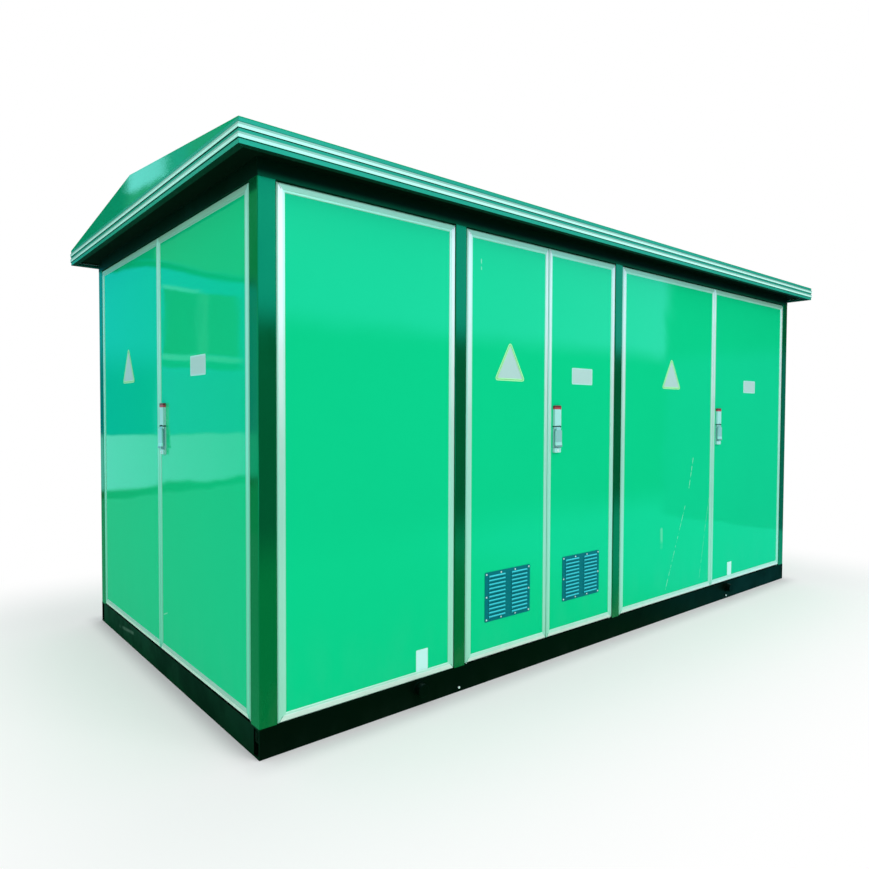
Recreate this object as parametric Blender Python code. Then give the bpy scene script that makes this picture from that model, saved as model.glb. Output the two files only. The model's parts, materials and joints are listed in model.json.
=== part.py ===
"""Compact substation housing: a green boarded box on a channel base under a low gable roof.

Every length is in metres. X runs along the long front, Y runs to the back, Z is up, and the
origin lies on the ground under the middle of the housing.
"""
import math

import bmesh
import bpy
from mathutils import Matrix, Vector

# Fit between two pieces that touch, and around a pin in its hole.
FIT = 0.0003
# Overlap of two shapes that are joined into one piece.
WELD = 0.002

# Body, measured over the posts.
CORNER_POST = 0.080
MID_POST = 0.070
FIXED_BAY = 0.966
NARROW_BAY = 1.254
WIDE_BAY = 2.300
END_BAY = 2.240
LENGTH = 2 * CORNER_POST + FIXED_BAY + NARROW_BAY + WIDE_BAY + 2 * MID_POST
WIDTH = 2 * CORNER_POST + END_BAY

# Base of rolled channel steel, with flanges that taper from root to tip.
BASE_HEIGHT = 0.126
BASE_FLANGE = 0.053
BASE_WEB = 0.0055
BASE_FLANGE_TIP = 0.0065
BASE_FLANGE_ROOT = 0.0105
BASE_FILLET = 0.008
LIFTING_STUB_RADIUS = 0.031
LIFTING_STUB_OUT = 0.040
LIFTING_STUB_CHAMFER = 0.002
LIFTING_STUB_LEFT_INSET = 0.820
LIFTING_STUB_RIGHT_INSET = 0.985
LIFTING_STUB_HEIGHT = 0.082

# Floor tray inside the posts.
FLOOR_THICK = 0.004
FLOOR_UPSTAND = 0.030

# Boards and their aluminium edge frames. The face has a chamfer, a flat, a bead and a lip.
FRAME_HEIGHT = 2.200
FRAME_FACE = 0.038
MEETING_FACE = 0.027
FRAME_CHAMFER = 0.006
FRAME_BEAD = 0.008
FRAME_BEAD_DROP = 0.0015
FRAME_LIP = 0.0025
BOARD_SET_BACK = FRAME_BEAD_DROP + FRAME_LIP
LEAF_DEPTH = 0.044
LEAF_GAP = 0.006
FIXED_GAP = 0.003
FRAME_TOP = BASE_HEIGHT + FRAME_HEIGHT

# Posts, folded as tubes with a stop flange behind each leaf.
POST_DEPTH = 0.060
POST_SHEET = 0.004
POST_FOLD = 0.003
STOP_FRONT = 0.050
STOP_REACH = 0.015
HEAD_GAP = 0.006
POST_TOP = FRAME_TOP + HEAD_GAP

# Ring beam of folded channel over the posts.
BEAM_HEIGHT = 0.071
BEAM_TOP = POST_TOP + BEAM_HEIGHT
BEAM_DEPTH = 0.060
BEAM_SHEET = 0.006
BEAM_STOP_OVERLAP = 0.015

# Leaf pivots.
PIVOT_INSET = 0.014
PIVOT_DEPTH = 0.011
PIN_RADIUS = 0.004
PIN_REACH = 0.010
PIN_ROOT = 0.012
PIN_END_GAP = 0.002

# Louvre plates low on the leaves of the narrow bay, with pressed hoods in two columns.
LOUVRE_THICK = 0.0025
LOUVRE_CORNER = 0.008
LOUVRE_RISE = 0.317
LOUVRE_CENTRE = BASE_HEIGHT + LOUVRE_RISE
HOOD_ROWS = 11
HOOD_PITCH = 0.0212
HOOD_WIDTH = 0.119
HOOD_HEIGHT = 0.0125
HOOD_OUT = 0.008
HOOD_SHEET = 0.0014
HOOD_COLUMN_GAP = 0.052
HOOD_MARGIN = 0.004
HOOD_STEPS = 4
LOUVRE_SIDE = 0.0275
LOUVRE_END = 0.0178
LOUVRE_WIDTH = 2 * (HOOD_WIDTH + LOUVRE_SIDE) + HOOD_COLUMN_GAP
LOUVRE_HEIGHT = (HOOD_ROWS - 1) * HOOD_PITCH + HOOD_HEIGHT + 2 * LOUVRE_END

# Swing handle locks: a stepped body with two ears, and a lever between them on a cross pin.
LOCK_WIDTH = 0.055
LOCK_HEIGHT = 0.268
LOCK_OUT = 0.012
LOCK_OFFSET = 0.073
LOCK_RISE = 1.190
LOCK_CENTRE = BASE_HEIGHT + LOCK_RISE
LOCK_EDGE = 0.002
LOCK_CORNER = 0.007
LOCK_CAP = 0.021
LOCK_GROOVE = 0.001
LOCK_POCKET_WIDTH = 0.046
LOCK_POCKET_FLOOR = 0.005
LOCK_POCKET_HEAD = 0.012
LEVER_NECK_WIDTH = 0.036
LEVER_NECK_STEP = 0.0005
LEVER_SHOULDER = 0.015
LEVER_SIDE = 0.001
LEVER_WIDTH = LOCK_WIDTH - 2 * LEVER_SIDE
LEVER_LENGTH = 0.110
LEVER_OUT = 0.011
LEVER_THICK = 0.008
LEVER_FLARE = 0.003
LEVER_CLEARANCE = 0.005
LEVER_AXIS_RISE = 0.008
LEVER_AXIS_OUT = 0.007
LEVER_HUB_RADIUS = 0.005
LEVER_PIN_RADIUS = 0.0025
LEVER_PIN_SEAT = 0.0025

# Roof. The ribs of the eave board are measured up from its bottom edge.
OVERHANG = 0.140
SOFFIT_RECESS = 0.023
EAVE_HEIGHT = 0.097
EAVE_SHEET = 0.003
EAVE_LIP = 0.030
EAVE_RIB_OUT = 0.004
EAVE_RIB_SLOPE = 0.002
EAVE_RIBS = ((0.018, 0.042), (0.054, 0.077))
EAVE_BOTTOM = BEAM_TOP - SOFFIT_RECESS
EAVE_TOP = EAVE_BOTTOM + EAVE_HEIGHT
RIDGE_RISE = 0.144
RIDGE_TOP = EAVE_TOP + RIDGE_RISE
ROOF_SHEET = 0.004
CEILING_THICK = 0.003
CEILING_UPSTAND = 0.060
GABLE_TIP = 0.010

PARTS = "compact_substation"
CUTTERS = "cutters"

# Colour, roughness and metallic of each material.
MATERIALS = {
    "base_paint": ((0.004, 0.012, 0.008), 0.45, 0.0),
    "post_paint": ((0.001, 0.105, 0.045), 0.35, 0.0),
    "board_green": ((0.008, 0.640, 0.290), 0.18, 0.0),
    "edge_aluminium": ((0.720, 0.840, 0.790), 0.35, 0.6),
    "roof_green": ((0.006, 0.310, 0.150), 0.25, 0.0),
    "eave_green": ((0.015, 0.330, 0.240), 0.35, 0.0),
    "soffit_dark": ((0.002, 0.030, 0.014), 0.60, 0.0),
    "louvre_teal": ((0.002, 0.190, 0.270), 0.40, 0.0),
    "lock_body": ((0.600, 0.640, 0.630), 0.40, 0.2),
    "lever_grey": ((0.300, 0.370, 0.370), 0.35, 0.5),
    "floor_steel": ((0.180, 0.190, 0.190), 0.55, 0.8),
}

# Turns of an outline so that it is carried along X, Y or Z.
ALONG = {
    "X": Matrix(((0, 0, 1, 0), (1, 0, 0, 0), (0, 1, 0, 0), (0, 0, 0, 1))),
    "Y": Matrix(((1, 0, 0, 0), (0, 0, -1, 0), (0, 1, 0, 0), (0, 0, 0, 1))),
    "Z": Matrix.Identity(4),
}


def clear_scene():
    for item in list(bpy.data.objects):
        bpy.data.objects.remove(item, do_unlink=True)


def make_collections():
    for name in (PARTS, CUTTERS):
        group = bpy.data.collections.new(name)
        bpy.context.scene.collection.children.link(group)


def make_materials():
    for name, (colour, roughness, metallic) in MATERIALS.items():
        material = bpy.data.materials.new(name)
        material.use_nodes = True
        shader = material.node_tree.nodes["Principled BSDF"]
        shader.inputs["Base Color"].default_value = (*colour, 1.0)
        shader.inputs["Roughness"].default_value = roughness
        shader.inputs["Metallic"].default_value = metallic


def add_part(name, mesh, material, parent=None, location=(0.0, 0.0, 0.0)):
    part = bpy.data.objects.new(name, mesh)
    bpy.data.collections[PARTS].objects.link(part)
    mesh.materials.clear()
    mesh.materials.append(bpy.data.materials[material])
    part.parent = parent
    part.location = location
    return part


def add_cutter(name, mesh, parent=None, location=(0.0, 0.0, 0.0)):
    cutter = bpy.data.objects.new(name, mesh)
    bpy.data.collections[CUTTERS].objects.link(cutter)
    cutter.hide_render = True
    cutter.display_type = "WIRE"
    cutter.parent = parent
    cutter.location = location
    return cutter


def add_empty(name, location, turn=0.0, parent=None):
    empty = bpy.data.objects.new(name, None)
    bpy.data.collections[PARTS].objects.link(empty)
    empty.location = location
    empty.rotation_euler = (0.0, 0.0, turn)
    empty.parent = parent
    return empty


def combine(part, other, operation):
    """Join another shape to a part, or cut it away."""
    modifier = part.modifiers.new(f"{operation.lower()}_{other.name}", "BOOLEAN")
    modifier.operation = operation
    modifier.solver = "EXACT"
    modifier.object = other


def mesh_from(name, model):
    bmesh.ops.recalc_face_normals(model, faces=model.faces)
    mesh = bpy.data.meshes.new(name)
    model.to_mesh(mesh)
    model.free()
    return mesh


def add_box(model, low, high):
    low = Vector(low)
    high = Vector(high)
    size = high - low
    place = Matrix.Translation((low + high) / 2) @ Matrix.Diagonal((*size, 1.0))
    return bmesh.ops.create_cube(model, size=1.0, matrix=place)["verts"]


def add_cylinder(model, centre, radius, length, turn=None, segments=24):
    place = Matrix.Translation(centre) @ (turn or Matrix.Identity(4))
    made = bmesh.ops.create_cone(
        model, cap_ends=True, segments=segments, radius1=radius, radius2=radius,
        depth=length, matrix=place)
    return made["verts"]


def box_mesh(name, low, high):
    model = bmesh.new()
    add_box(model, low, high)
    return mesh_from(name, model)


def boxes_mesh(name, boxes):
    """Several separate boxes in one mesh, for a cutter."""
    model = bmesh.new()
    for low, high in boxes:
        add_box(model, low, high)
    return mesh_from(name, model)


def cylinders_mesh(name, cylinders):
    """Several separate cylinders in one mesh, for a cutter."""
    model = bmesh.new()
    for centre, radius, length, turn in cylinders:
        add_cylinder(model, centre, radius, length, turn)
    return mesh_from(name, model)


def prism_mesh(name, outline, start, end, along, holes=()):
    """A flat outline carried along one axis from start to end."""
    curve = bpy.data.curves.new(name, "CURVE")
    curve.dimensions = "2D"
    curve.fill_mode = "BOTH"
    curve.extrude = (end - start) / 2
    for loop in (outline, *holes):
        spline = curve.splines.new("POLY")
        spline.points.add(len(loop) - 1)
        spline.use_cyclic_u = True
        for point, (u, v) in zip(spline.points, loop):
            point.co = (u, v, 0.0, 1.0)
    holder = bpy.data.objects.new(name, curve)
    bpy.context.scene.collection.objects.link(holder)
    bpy.context.view_layer.update()
    mesh = bpy.data.meshes.new_from_object(holder)
    bpy.data.objects.remove(holder, do_unlink=True)
    bpy.data.curves.remove(curve)
    model = bmesh.new()
    model.from_mesh(mesh)
    bpy.data.meshes.remove(mesh)
    bmesh.ops.remove_doubles(model, verts=model.verts, dist=1e-5)
    bmesh.ops.transform(model, matrix=ALONG[along], verts=model.verts)
    middle = (start + end) / 2
    shift = {"X": (middle, 0, 0), "Y": (0, middle, 0), "Z": (0, 0, middle)}[along]
    bmesh.ops.translate(model, vec=shift, verts=model.verts)
    return mesh_from(name, model)


def repeat_mesh(name, mesh, places):
    """The same shape at several places, in one mesh."""
    model = bmesh.new()
    for place in places:
        done = len(model.verts)
        model.from_mesh(mesh)
        model.verts.ensure_lookup_table()
        bmesh.ops.translate(model, vec=place, verts=model.verts[done:])
    bpy.data.meshes.remove(mesh)
    return mesh_from(name, model)


def rounded_corner(before, corner, after, radius, steps=3):
    """Points of a corner rounded between its two neighbours."""
    corner = Vector(corner)
    back = (Vector(before) - corner).normalized()
    ahead = (Vector(after) - corner).normalized()
    centre = corner + (back + ahead) * radius
    points = []
    for step in range(steps + 1):
        angle = math.pi / 2 * step / steps
        point = centre - (ahead * math.cos(angle) + back * math.sin(angle)) * radius
        points.append((point.x, point.y))
    return points


def rounded_outline(points, radius, which=None, steps=3):
    """An outline with all its corners, or the listed ones, rounded."""
    result = []
    for index, corner in enumerate(points):
        if which is None or index in which:
            before = points[index - 1]
            after = points[(index + 1) % len(points)]
            result += rounded_corner(before, corner, after, radius, steps)
        else:
            result.append(corner)
    return result


def rectangle(centre, middle, width, height):
    half = width / 2
    tall = height / 2
    return [(centre - half, middle - tall), (centre + half, middle - tall),
            (centre + half, middle + tall), (centre - half, middle + tall)]


def channel_outline(outer, inward):
    """Section of a base channel: web at the outer plane, tapered flanges turned inward."""
    web = outer + inward * BASE_WEB
    tip = outer + inward * BASE_FLANGE
    top = BASE_HEIGHT
    points = [(outer, 0.0), (tip, 0.0), (tip, BASE_FLANGE_TIP), (web, BASE_FLANGE_ROOT),
              (web, top - BASE_FLANGE_ROOT), (tip, top - BASE_FLANGE_TIP), (tip, top), (outer, top)]
    return rounded_outline(points, BASE_FILLET, (3, 4))


def mid_post_centres():
    """Places along X of the two posts between the bays."""
    first = -LENGTH / 2 + CORNER_POST + FIXED_BAY + MID_POST / 2
    second = first + MID_POST + NARROW_BAY
    return first, second


def pivot_places():
    """Ground places of the six leaf pivots."""
    first, second = mid_post_centres()
    reach = LEAF_GAP + PIVOT_INSET
    front = -WIDTH / 2 + PIVOT_DEPTH
    left = -LENGTH / 2 + PIVOT_DEPTH
    side = WIDTH / 2 - CORNER_POST - reach
    return [
        (first + MID_POST / 2 + reach, front),
        (second - MID_POST / 2 - reach, front),
        (second + MID_POST / 2 + reach, front),
        (LENGTH / 2 - CORNER_POST - reach, front),
        (left, -side),
        (left, side),
    ]


def lifting_stubs():
    """Round stubs that slings go over, two on the front and two on the back."""
    model = bmesh.new()
    upright = Matrix.Rotation(math.pi / 2, 4, "X")
    length = LIFTING_STUB_OUT + BASE_WEB / 2
    out = WIDTH / 2 + LIFTING_STUB_OUT - length / 2
    for x in (LIFTING_STUB_LEFT_INSET - LENGTH / 2, LENGTH / 2 - LIFTING_STUB_RIGHT_INSET):
        for side in (-1, 1):
            add_cylinder(model, (x, side * out, LIFTING_STUB_HEIGHT), LIFTING_STUB_RADIUS, length, upright)
    rims = [edge for edge in model.edges if edge.calc_face_angle() > math.pi / 4]
    bmesh.ops.bevel(model, geom=rims, offset=LIFTING_STUB_CHAMFER, segments=1, profile=0.5,
                    affect="EDGES")
    return mesh_from("lifting_stubs", model)


def build_base():
    """Welded base: four outer channels, two cross channels and four lifting stubs."""
    x = LENGTH / 2
    y = WIDTH / 2
    base = add_part("base_frame",
                    prism_mesh("base_frame", channel_outline(-y, 1), -x, x, "X"), "base_paint")
    end = y - BASE_FLANGE + WELD
    crossing = BASE_FLANGE / 2
    rows = [("left_channel", -x, 1), ("right_channel", x, -1)]
    for number, centre in enumerate(mid_post_centres(), 1):
        rows.append((f"cross_channel_{number}", centre - crossing, 1))
    pieces = [prism_mesh("back_channel", channel_outline(y, -1), -x, x, "X")]
    for name, outer, inward in rows:
        pieces.append(prism_mesh(name, channel_outline(outer, inward), -end, end, "Y"))
    for mesh in pieces:
        combine(base, add_cutter(mesh.name, mesh), "UNION")
    combine(base, add_cutter("lifting_stubs", lifting_stubs()), "UNION")
    depth = BASE_FLANGE_ROOT + BASE_FILLET + WELD
    holes = []
    for px, py in pivot_places():
        holes.append(((px, py, BASE_HEIGHT), PIN_RADIUS + FIT, 2 * depth, None))
    combine(base, add_cutter("base_pin_holes", cylinders_mesh("base_pin_holes", holes)), "DIFFERENCE")


def build_floor():
    """Floor tray with a low upstand, notched round the corner posts."""
    x = LENGTH / 2 - POST_DEPTH - FIT
    y = WIDTH / 2 - POST_DEPTH - FIT
    low = BASE_HEIGHT + FIT
    high = low + FLOOR_UPSTAND
    floor = add_part("floor_tray", box_mesh("floor_tray", (-x, -y, low), (x, y, high)), "floor_steel")
    notch = CORNER_POST - POST_DEPTH
    inner_x = x - FLOOR_THICK
    inner_y = y - FLOOR_THICK
    inside = low + FLOOR_THICK
    above = high + WELD
    hollows = (((-inner_x + notch, -inner_y, inside), (inner_x - notch, inner_y, above)),
               ((-inner_x, -inner_y + notch, inside), (inner_x, inner_y - notch, above)))
    for number, (near, far) in enumerate(hollows, 1):
        name = f"floor_hollow_{number}"
        combine(floor, add_cutter(name, box_mesh(name, near, far)), "DIFFERENCE")
    corners = []
    for sx in (-1, 1):
        for sy in (-1, 1):
            near = (sx * (x - notch), sy * (y - notch), low - WELD)
            far = (sx * (x + WELD), sy * (y + WELD), above)
            corners.append((tuple(map(min, near, far)), tuple(map(max, near, far))))
    combine(floor, add_cutter("floor_notches", boxes_mesh("floor_notches", corners)), "DIFFERENCE")


def corner_post_section():
    """Outline of a corner post with its outer corner at zero, and the hole in it."""
    size = CORNER_POST
    reach = size + STOP_REACH
    points = [(0, 0), (size, 0), (size, STOP_FRONT), (reach, STOP_FRONT), (reach, POST_DEPTH),
              (size, POST_DEPTH), (size, size), (POST_DEPTH, size), (POST_DEPTH, reach),
              (STOP_FRONT, reach), (STOP_FRONT, size), (0, size)]
    outer = rounded_outline(points, POST_FOLD, (0, 1, 11))
    low = POST_SHEET
    high = size - POST_SHEET
    return outer, [(low, low), (high, low), (high, high), (low, high)]


def mid_post_section():
    """Outline of a post between two bays, its outer face at zero, and the hole in it."""
    half = MID_POST / 2
    reach = half + STOP_REACH
    points = [(-half, 0), (half, 0), (half, STOP_FRONT), (reach, STOP_FRONT), (reach, POST_DEPTH),
              (-reach, POST_DEPTH), (-reach, STOP_FRONT), (-half, STOP_FRONT)]
    outer = rounded_outline(points, POST_FOLD, (0, 1))
    inner = half - POST_SHEET
    low = POST_SHEET
    high = POST_DEPTH - POST_SHEET
    return outer, [(-inner, low), (inner, low), (inner, high), (-inner, high)]


def build_posts():
    """Four corner posts and four posts between the bays, between base and ring beam."""
    bottom = BASE_HEIGHT + FIT
    top = POST_TOP - FIT
    section = corner_post_section()
    for name, sx, sy in (("front_left", -1, -1), ("front_right", 1, -1),
                         ("back_left", -1, 1), ("back_right", 1, 1)):
        outer, inner = ([(sx * (LENGTH / 2 - u), sy * (WIDTH / 2 - v)) for u, v in loop]
                        for loop in section)
        name = f"corner_post_{name}"
        add_part(name, prism_mesh(name, outer, bottom, top, "Z", (inner,)), "post_paint")
    section = mid_post_section()
    for number, centre in enumerate(mid_post_centres(), 1):
        for side, sy in (("front", -1), ("back", 1)):
            outer, inner = ([(centre + u, sy * (WIDTH / 2 - v)) for u, v in loop]
                            for loop in section)
            name = f"{side}_post_{number}"
            add_part(name, prism_mesh(name, outer, bottom, top, "Z", (inner,)), "post_paint")


def stop_strips():
    """Boxes of the stop strips that hang from the ring beam behind the leaves."""
    inner_x = LENGTH / 2 - BEAM_DEPTH
    inner_y = WIDTH / 2 - BEAM_DEPTH
    stop_x = LENGTH / 2 - STOP_FRONT
    stop_y = WIDTH / 2 - STOP_FRONT
    low = FRAME_TOP - BEAM_STOP_OVERLAP
    high = POST_TOP + WELD
    first, second = mid_post_centres()
    keep = MID_POST / 2 + STOP_REACH + FIT
    side = CORNER_POST + STOP_REACH + FIT
    end_x = LENGTH / 2 - side
    end_y = WIDTH / 2 - side
    strips = []
    for sy in (-1, 1):
        near, far = sorted((sy * inner_y, sy * stop_y))
        for start, end in ((-end_x, first - keep), (first + keep, second - keep),
                           (second + keep, end_x)):
            strips.append(((start, near, low), (end, far, high)))
    for sx in (-1, 1):
        near, far = sorted((sx * inner_x, sx * stop_x))
        strips.append(((near, -end_y, low), (far, end_y, high)))
    return strips


def build_ring_beam():
    """Welded ring of folded channel over the posts, open to the inside."""
    x = LENGTH / 2
    y = WIDTH / 2
    beam = add_part("top_ring_beam", box_mesh("top_ring_beam", (-x, -y, POST_TOP), (x, y, BEAM_TOP)),
                    "post_paint")
    inner_x = x - BEAM_DEPTH
    inner_y = y - BEAM_DEPTH
    centre = box_mesh("beam_centre", (-inner_x, -inner_y, POST_TOP - WELD),
                      (inner_x, inner_y, BEAM_TOP + WELD))
    combine(beam, add_cutter("beam_centre", centre), "DIFFERENCE")
    web_x = x - BEAM_SHEET
    web_y = y - BEAM_SHEET
    hollow = box_mesh("beam_hollow", (-web_x, -web_y, POST_TOP + BEAM_SHEET),
                      (web_x, web_y, BEAM_TOP - BEAM_SHEET))
    combine(beam, add_cutter("beam_hollow", hollow), "DIFFERENCE")
    combine(beam, add_cutter("beam_stops", boxes_mesh("beam_stops", stop_strips())), "UNION")
    holes = []
    for px, py in pivot_places():
        holes.append(((px, py, POST_TOP), PIN_RADIUS + FIT, 2 * (BEAM_SHEET + WELD), None))
    combine(beam, add_cutter("beam_pin_holes", cylinders_mesh("beam_pin_holes", holes)), "DIFFERENCE")


def frame_model(width, height, depth, far_face=FRAME_FACE):
    """Mitred edge frame standing on z = 0, outer face at y = 0, one edge at x = 0."""
    model = bmesh.new()
    add_box(model, (0, FRAME_CHAMFER, 0), (width, depth, height))
    front = min(model.faces, key=lambda face: face.calc_center_median().y)
    back = max(model.faces, key=lambda face: face.calc_center_median().y)
    flat = FRAME_FACE - FRAME_CHAMFER - FRAME_BEAD_DROP - FRAME_BEAD - FRAME_LIP
    steps = ((FRAME_CHAMFER, FRAME_CHAMFER), (flat, 0.0), (FRAME_BEAD_DROP, -FRAME_BEAD_DROP),
             (FRAME_BEAD, 0.0), (FRAME_LIP, -FRAME_LIP))
    for thickness, rise in steps:
        bmesh.ops.inset_region(model, faces=[front], thickness=thickness, depth=rise,
                               use_even_offset=True)
    bmesh.ops.inset_region(model, faces=[back], thickness=FRAME_FACE, use_even_offset=True)
    rims = list(front.edges) + list(back.edges)
    bmesh.ops.delete(model, geom=[front, back], context="FACES_ONLY")
    bmesh.ops.bridge_loops(model, edges=rims)
    limit = width - FRAME_CHAMFER - FIT
    inner = [vert for vert in model.verts if limit > vert.co.x > width / 2]
    bmesh.ops.translate(model, vec=(FRAME_FACE - far_face, 0, 0), verts=inner)
    return model


def turn_round(model, right_hung):
    """Mirror a leaf shape whose hinge is on the right."""
    if right_hung:
        bmesh.ops.scale(model, vec=(-1, 1, 1), verts=model.verts)
        bmesh.ops.reverse_faces(model, faces=model.faces)
    return model


def build_leaf(name, wall, hinge_edge, width, right_hung, louvre, lock):
    """One door leaf: edge frame with pivot pins, board, and what it carries."""
    side = -1 if right_hung else 1
    place = (hinge_edge + side * PIVOT_INSET, PIVOT_DEPTH, 0.0)
    pivot = add_empty(f"{name}_pivot", place, parent=wall)
    bottom = BASE_HEIGHT + LEAF_GAP
    height = FRAME_TOP - bottom
    corner = Vector((-PIVOT_INSET, -PIVOT_DEPTH, bottom))

    frame = frame_model(width, height, LEAF_DEPTH, MEETING_FACE)
    bmesh.ops.translate(frame, vec=corner, verts=frame.verts)
    turn_round(frame, right_hung)
    edge = add_part(f"{name}_frame", mesh_from(f"{name}_frame", frame), "edge_aluminium", pivot)
    pins = []
    for low, high in ((BASE_HEIGHT - PIN_REACH, bottom + PIN_ROOT),
                      (FRAME_TOP - PIN_ROOT, POST_TOP + PIN_REACH)):
        pins.append(((0, 0, (low + high) / 2), PIN_RADIUS, high - low, None))
    combine(edge, add_cutter(f"{name}_pins", cylinders_mesh(f"{name}_pins", pins), pivot), "UNION")

    board = bmesh.new()
    add_box(board, corner + Vector((FRAME_FACE + FIT, BOARD_SET_BACK, FRAME_FACE + FIT)),
            corner + Vector((width - MEETING_FACE - FIT, LEAF_DEPTH, height - FRAME_FACE - FIT)))
    turn_round(board, right_hung)
    sheet = add_part(f"{name}_board", mesh_from(f"{name}_board", board), "board_green", pivot)
    if louvre:
        build_louvre(name, pivot, sheet, side * (width / 2 - PIVOT_INSET))
    if lock:
        build_lock(name, pivot, side * (width + LEAF_GAP / 2 - PIVOT_INSET - LOCK_OFFSET))


def hood_outline(front, out, top, back, bottom):
    """Section of a louvre hood: a quarter round out from the plate, closed at the back."""
    points = []
    for step in range(HOOD_STEPS + 1):
        angle = math.pi / 2 * step / HOOD_STEPS
        points.append((front - out * math.sin(angle), top - (top - bottom) * (1 - math.cos(angle))))
    return points + [(back, bottom), (back, top)]


def build_louvre(name, pivot, sheet, centre):
    """Pressed louvre plate with hooded slots, over a cut-out in the leaf's board."""
    back = BOARD_SET_BACK - PIVOT_DEPTH - FIT
    front = back - LOUVRE_THICK
    outline = rounded_outline(rectangle(centre, LOUVRE_CENTRE, LOUVRE_WIDTH, LOUVRE_HEIGHT),
                              LOUVRE_CORNER)
    plate = add_part(f"{name}_louvre", prism_mesh(f"{name}_louvre", outline, -back, -front, "Y"),
                     "louvre_teal", pivot)
    plate.data.transform(Matrix.Scale(-1, 4, (0, 1, 0)))
    plate.data.flip_normals()

    low = -HOOD_HEIGHT / 2
    high = HOOD_HEIGHT / 2
    outer = hood_outline(front, HOOD_OUT, high, front + LOUVRE_THICK / 2, low)
    inner = hood_outline(front, HOOD_OUT - HOOD_SHEET, high - HOOD_SHEET, back + WELD, low - FIT)
    half = HOOD_WIDTH / 2
    column = (HOOD_WIDTH + HOOD_COLUMN_GAP) / 2
    places = []
    for shift in (-column, column):
        for row in range(HOOD_ROWS):
            rise = (row - (HOOD_ROWS - 1) / 2) * HOOD_PITCH
            places.append((centre + shift, 0.0, LOUVRE_CENTRE + rise))
    for kind, shape, reach, operation in (("hoods", outer, half, "UNION"),
                                          ("slots", inner, half - HOOD_SHEET, "DIFFERENCE")):
        one = prism_mesh(f"{name}_{kind}_one", shape, -reach, reach, "X")
        many = repeat_mesh(f"{name}_{kind}", one, places)
        combine(plate, add_cutter(many.name, many, pivot), operation)

    half = column + HOOD_WIDTH / 2 + HOOD_MARGIN
    tall = (HOOD_ROWS - 1) * HOOD_PITCH / 2 + HOOD_HEIGHT / 2 + HOOD_MARGIN
    cut = box_mesh(f"{name}_cutout", (centre - half, -LEAF_DEPTH, LOUVRE_CENTRE - tall),
                   (centre + half, LEAF_DEPTH, LOUVRE_CENTRE + tall))
    combine(sheet, add_cutter(f"{name}_cutout", cut, pivot), "DIFFERENCE")


def neck_outline():
    """Side view of the narrow top of a lever about its pin: round hub and a short neck."""
    points = []
    steps = 8
    for step in range(steps + 1):
        angle = math.pi * (1 - step / steps)
        points.append((LEVER_HUB_RADIUS * math.cos(angle), LEVER_HUB_RADIUS * math.sin(angle)))
    front = LEVER_NECK_STEP - LEVER_OUT
    back = LEVER_THICK - LEVER_OUT - LEVER_NECK_STEP
    root = -(LEVER_SHOULDER + LEVER_THICK)
    neck = -(LEVER_OUT + WELD / 2)
    return points + [(back, neck), (back, root), (front, root), (front, neck),
                     ((front - LEVER_HUB_RADIUS) / 2, -LEVER_HUB_RADIUS)]


def bar_outline():
    """Side view of the wide bar of a lever, from its shoulder down to its flared tip."""
    front = -LEVER_OUT
    back = LEVER_THICK - LEVER_OUT
    bend = -LEVER_LENGTH * 3 / 4
    return [(back, -LEVER_SHOULDER), (back, bend), (back - LEVER_FLARE, -LEVER_LENGTH),
            (front - LEVER_FLARE, -LEVER_LENGTH), (front, bend), (front, -LEVER_SHOULDER)]


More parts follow.
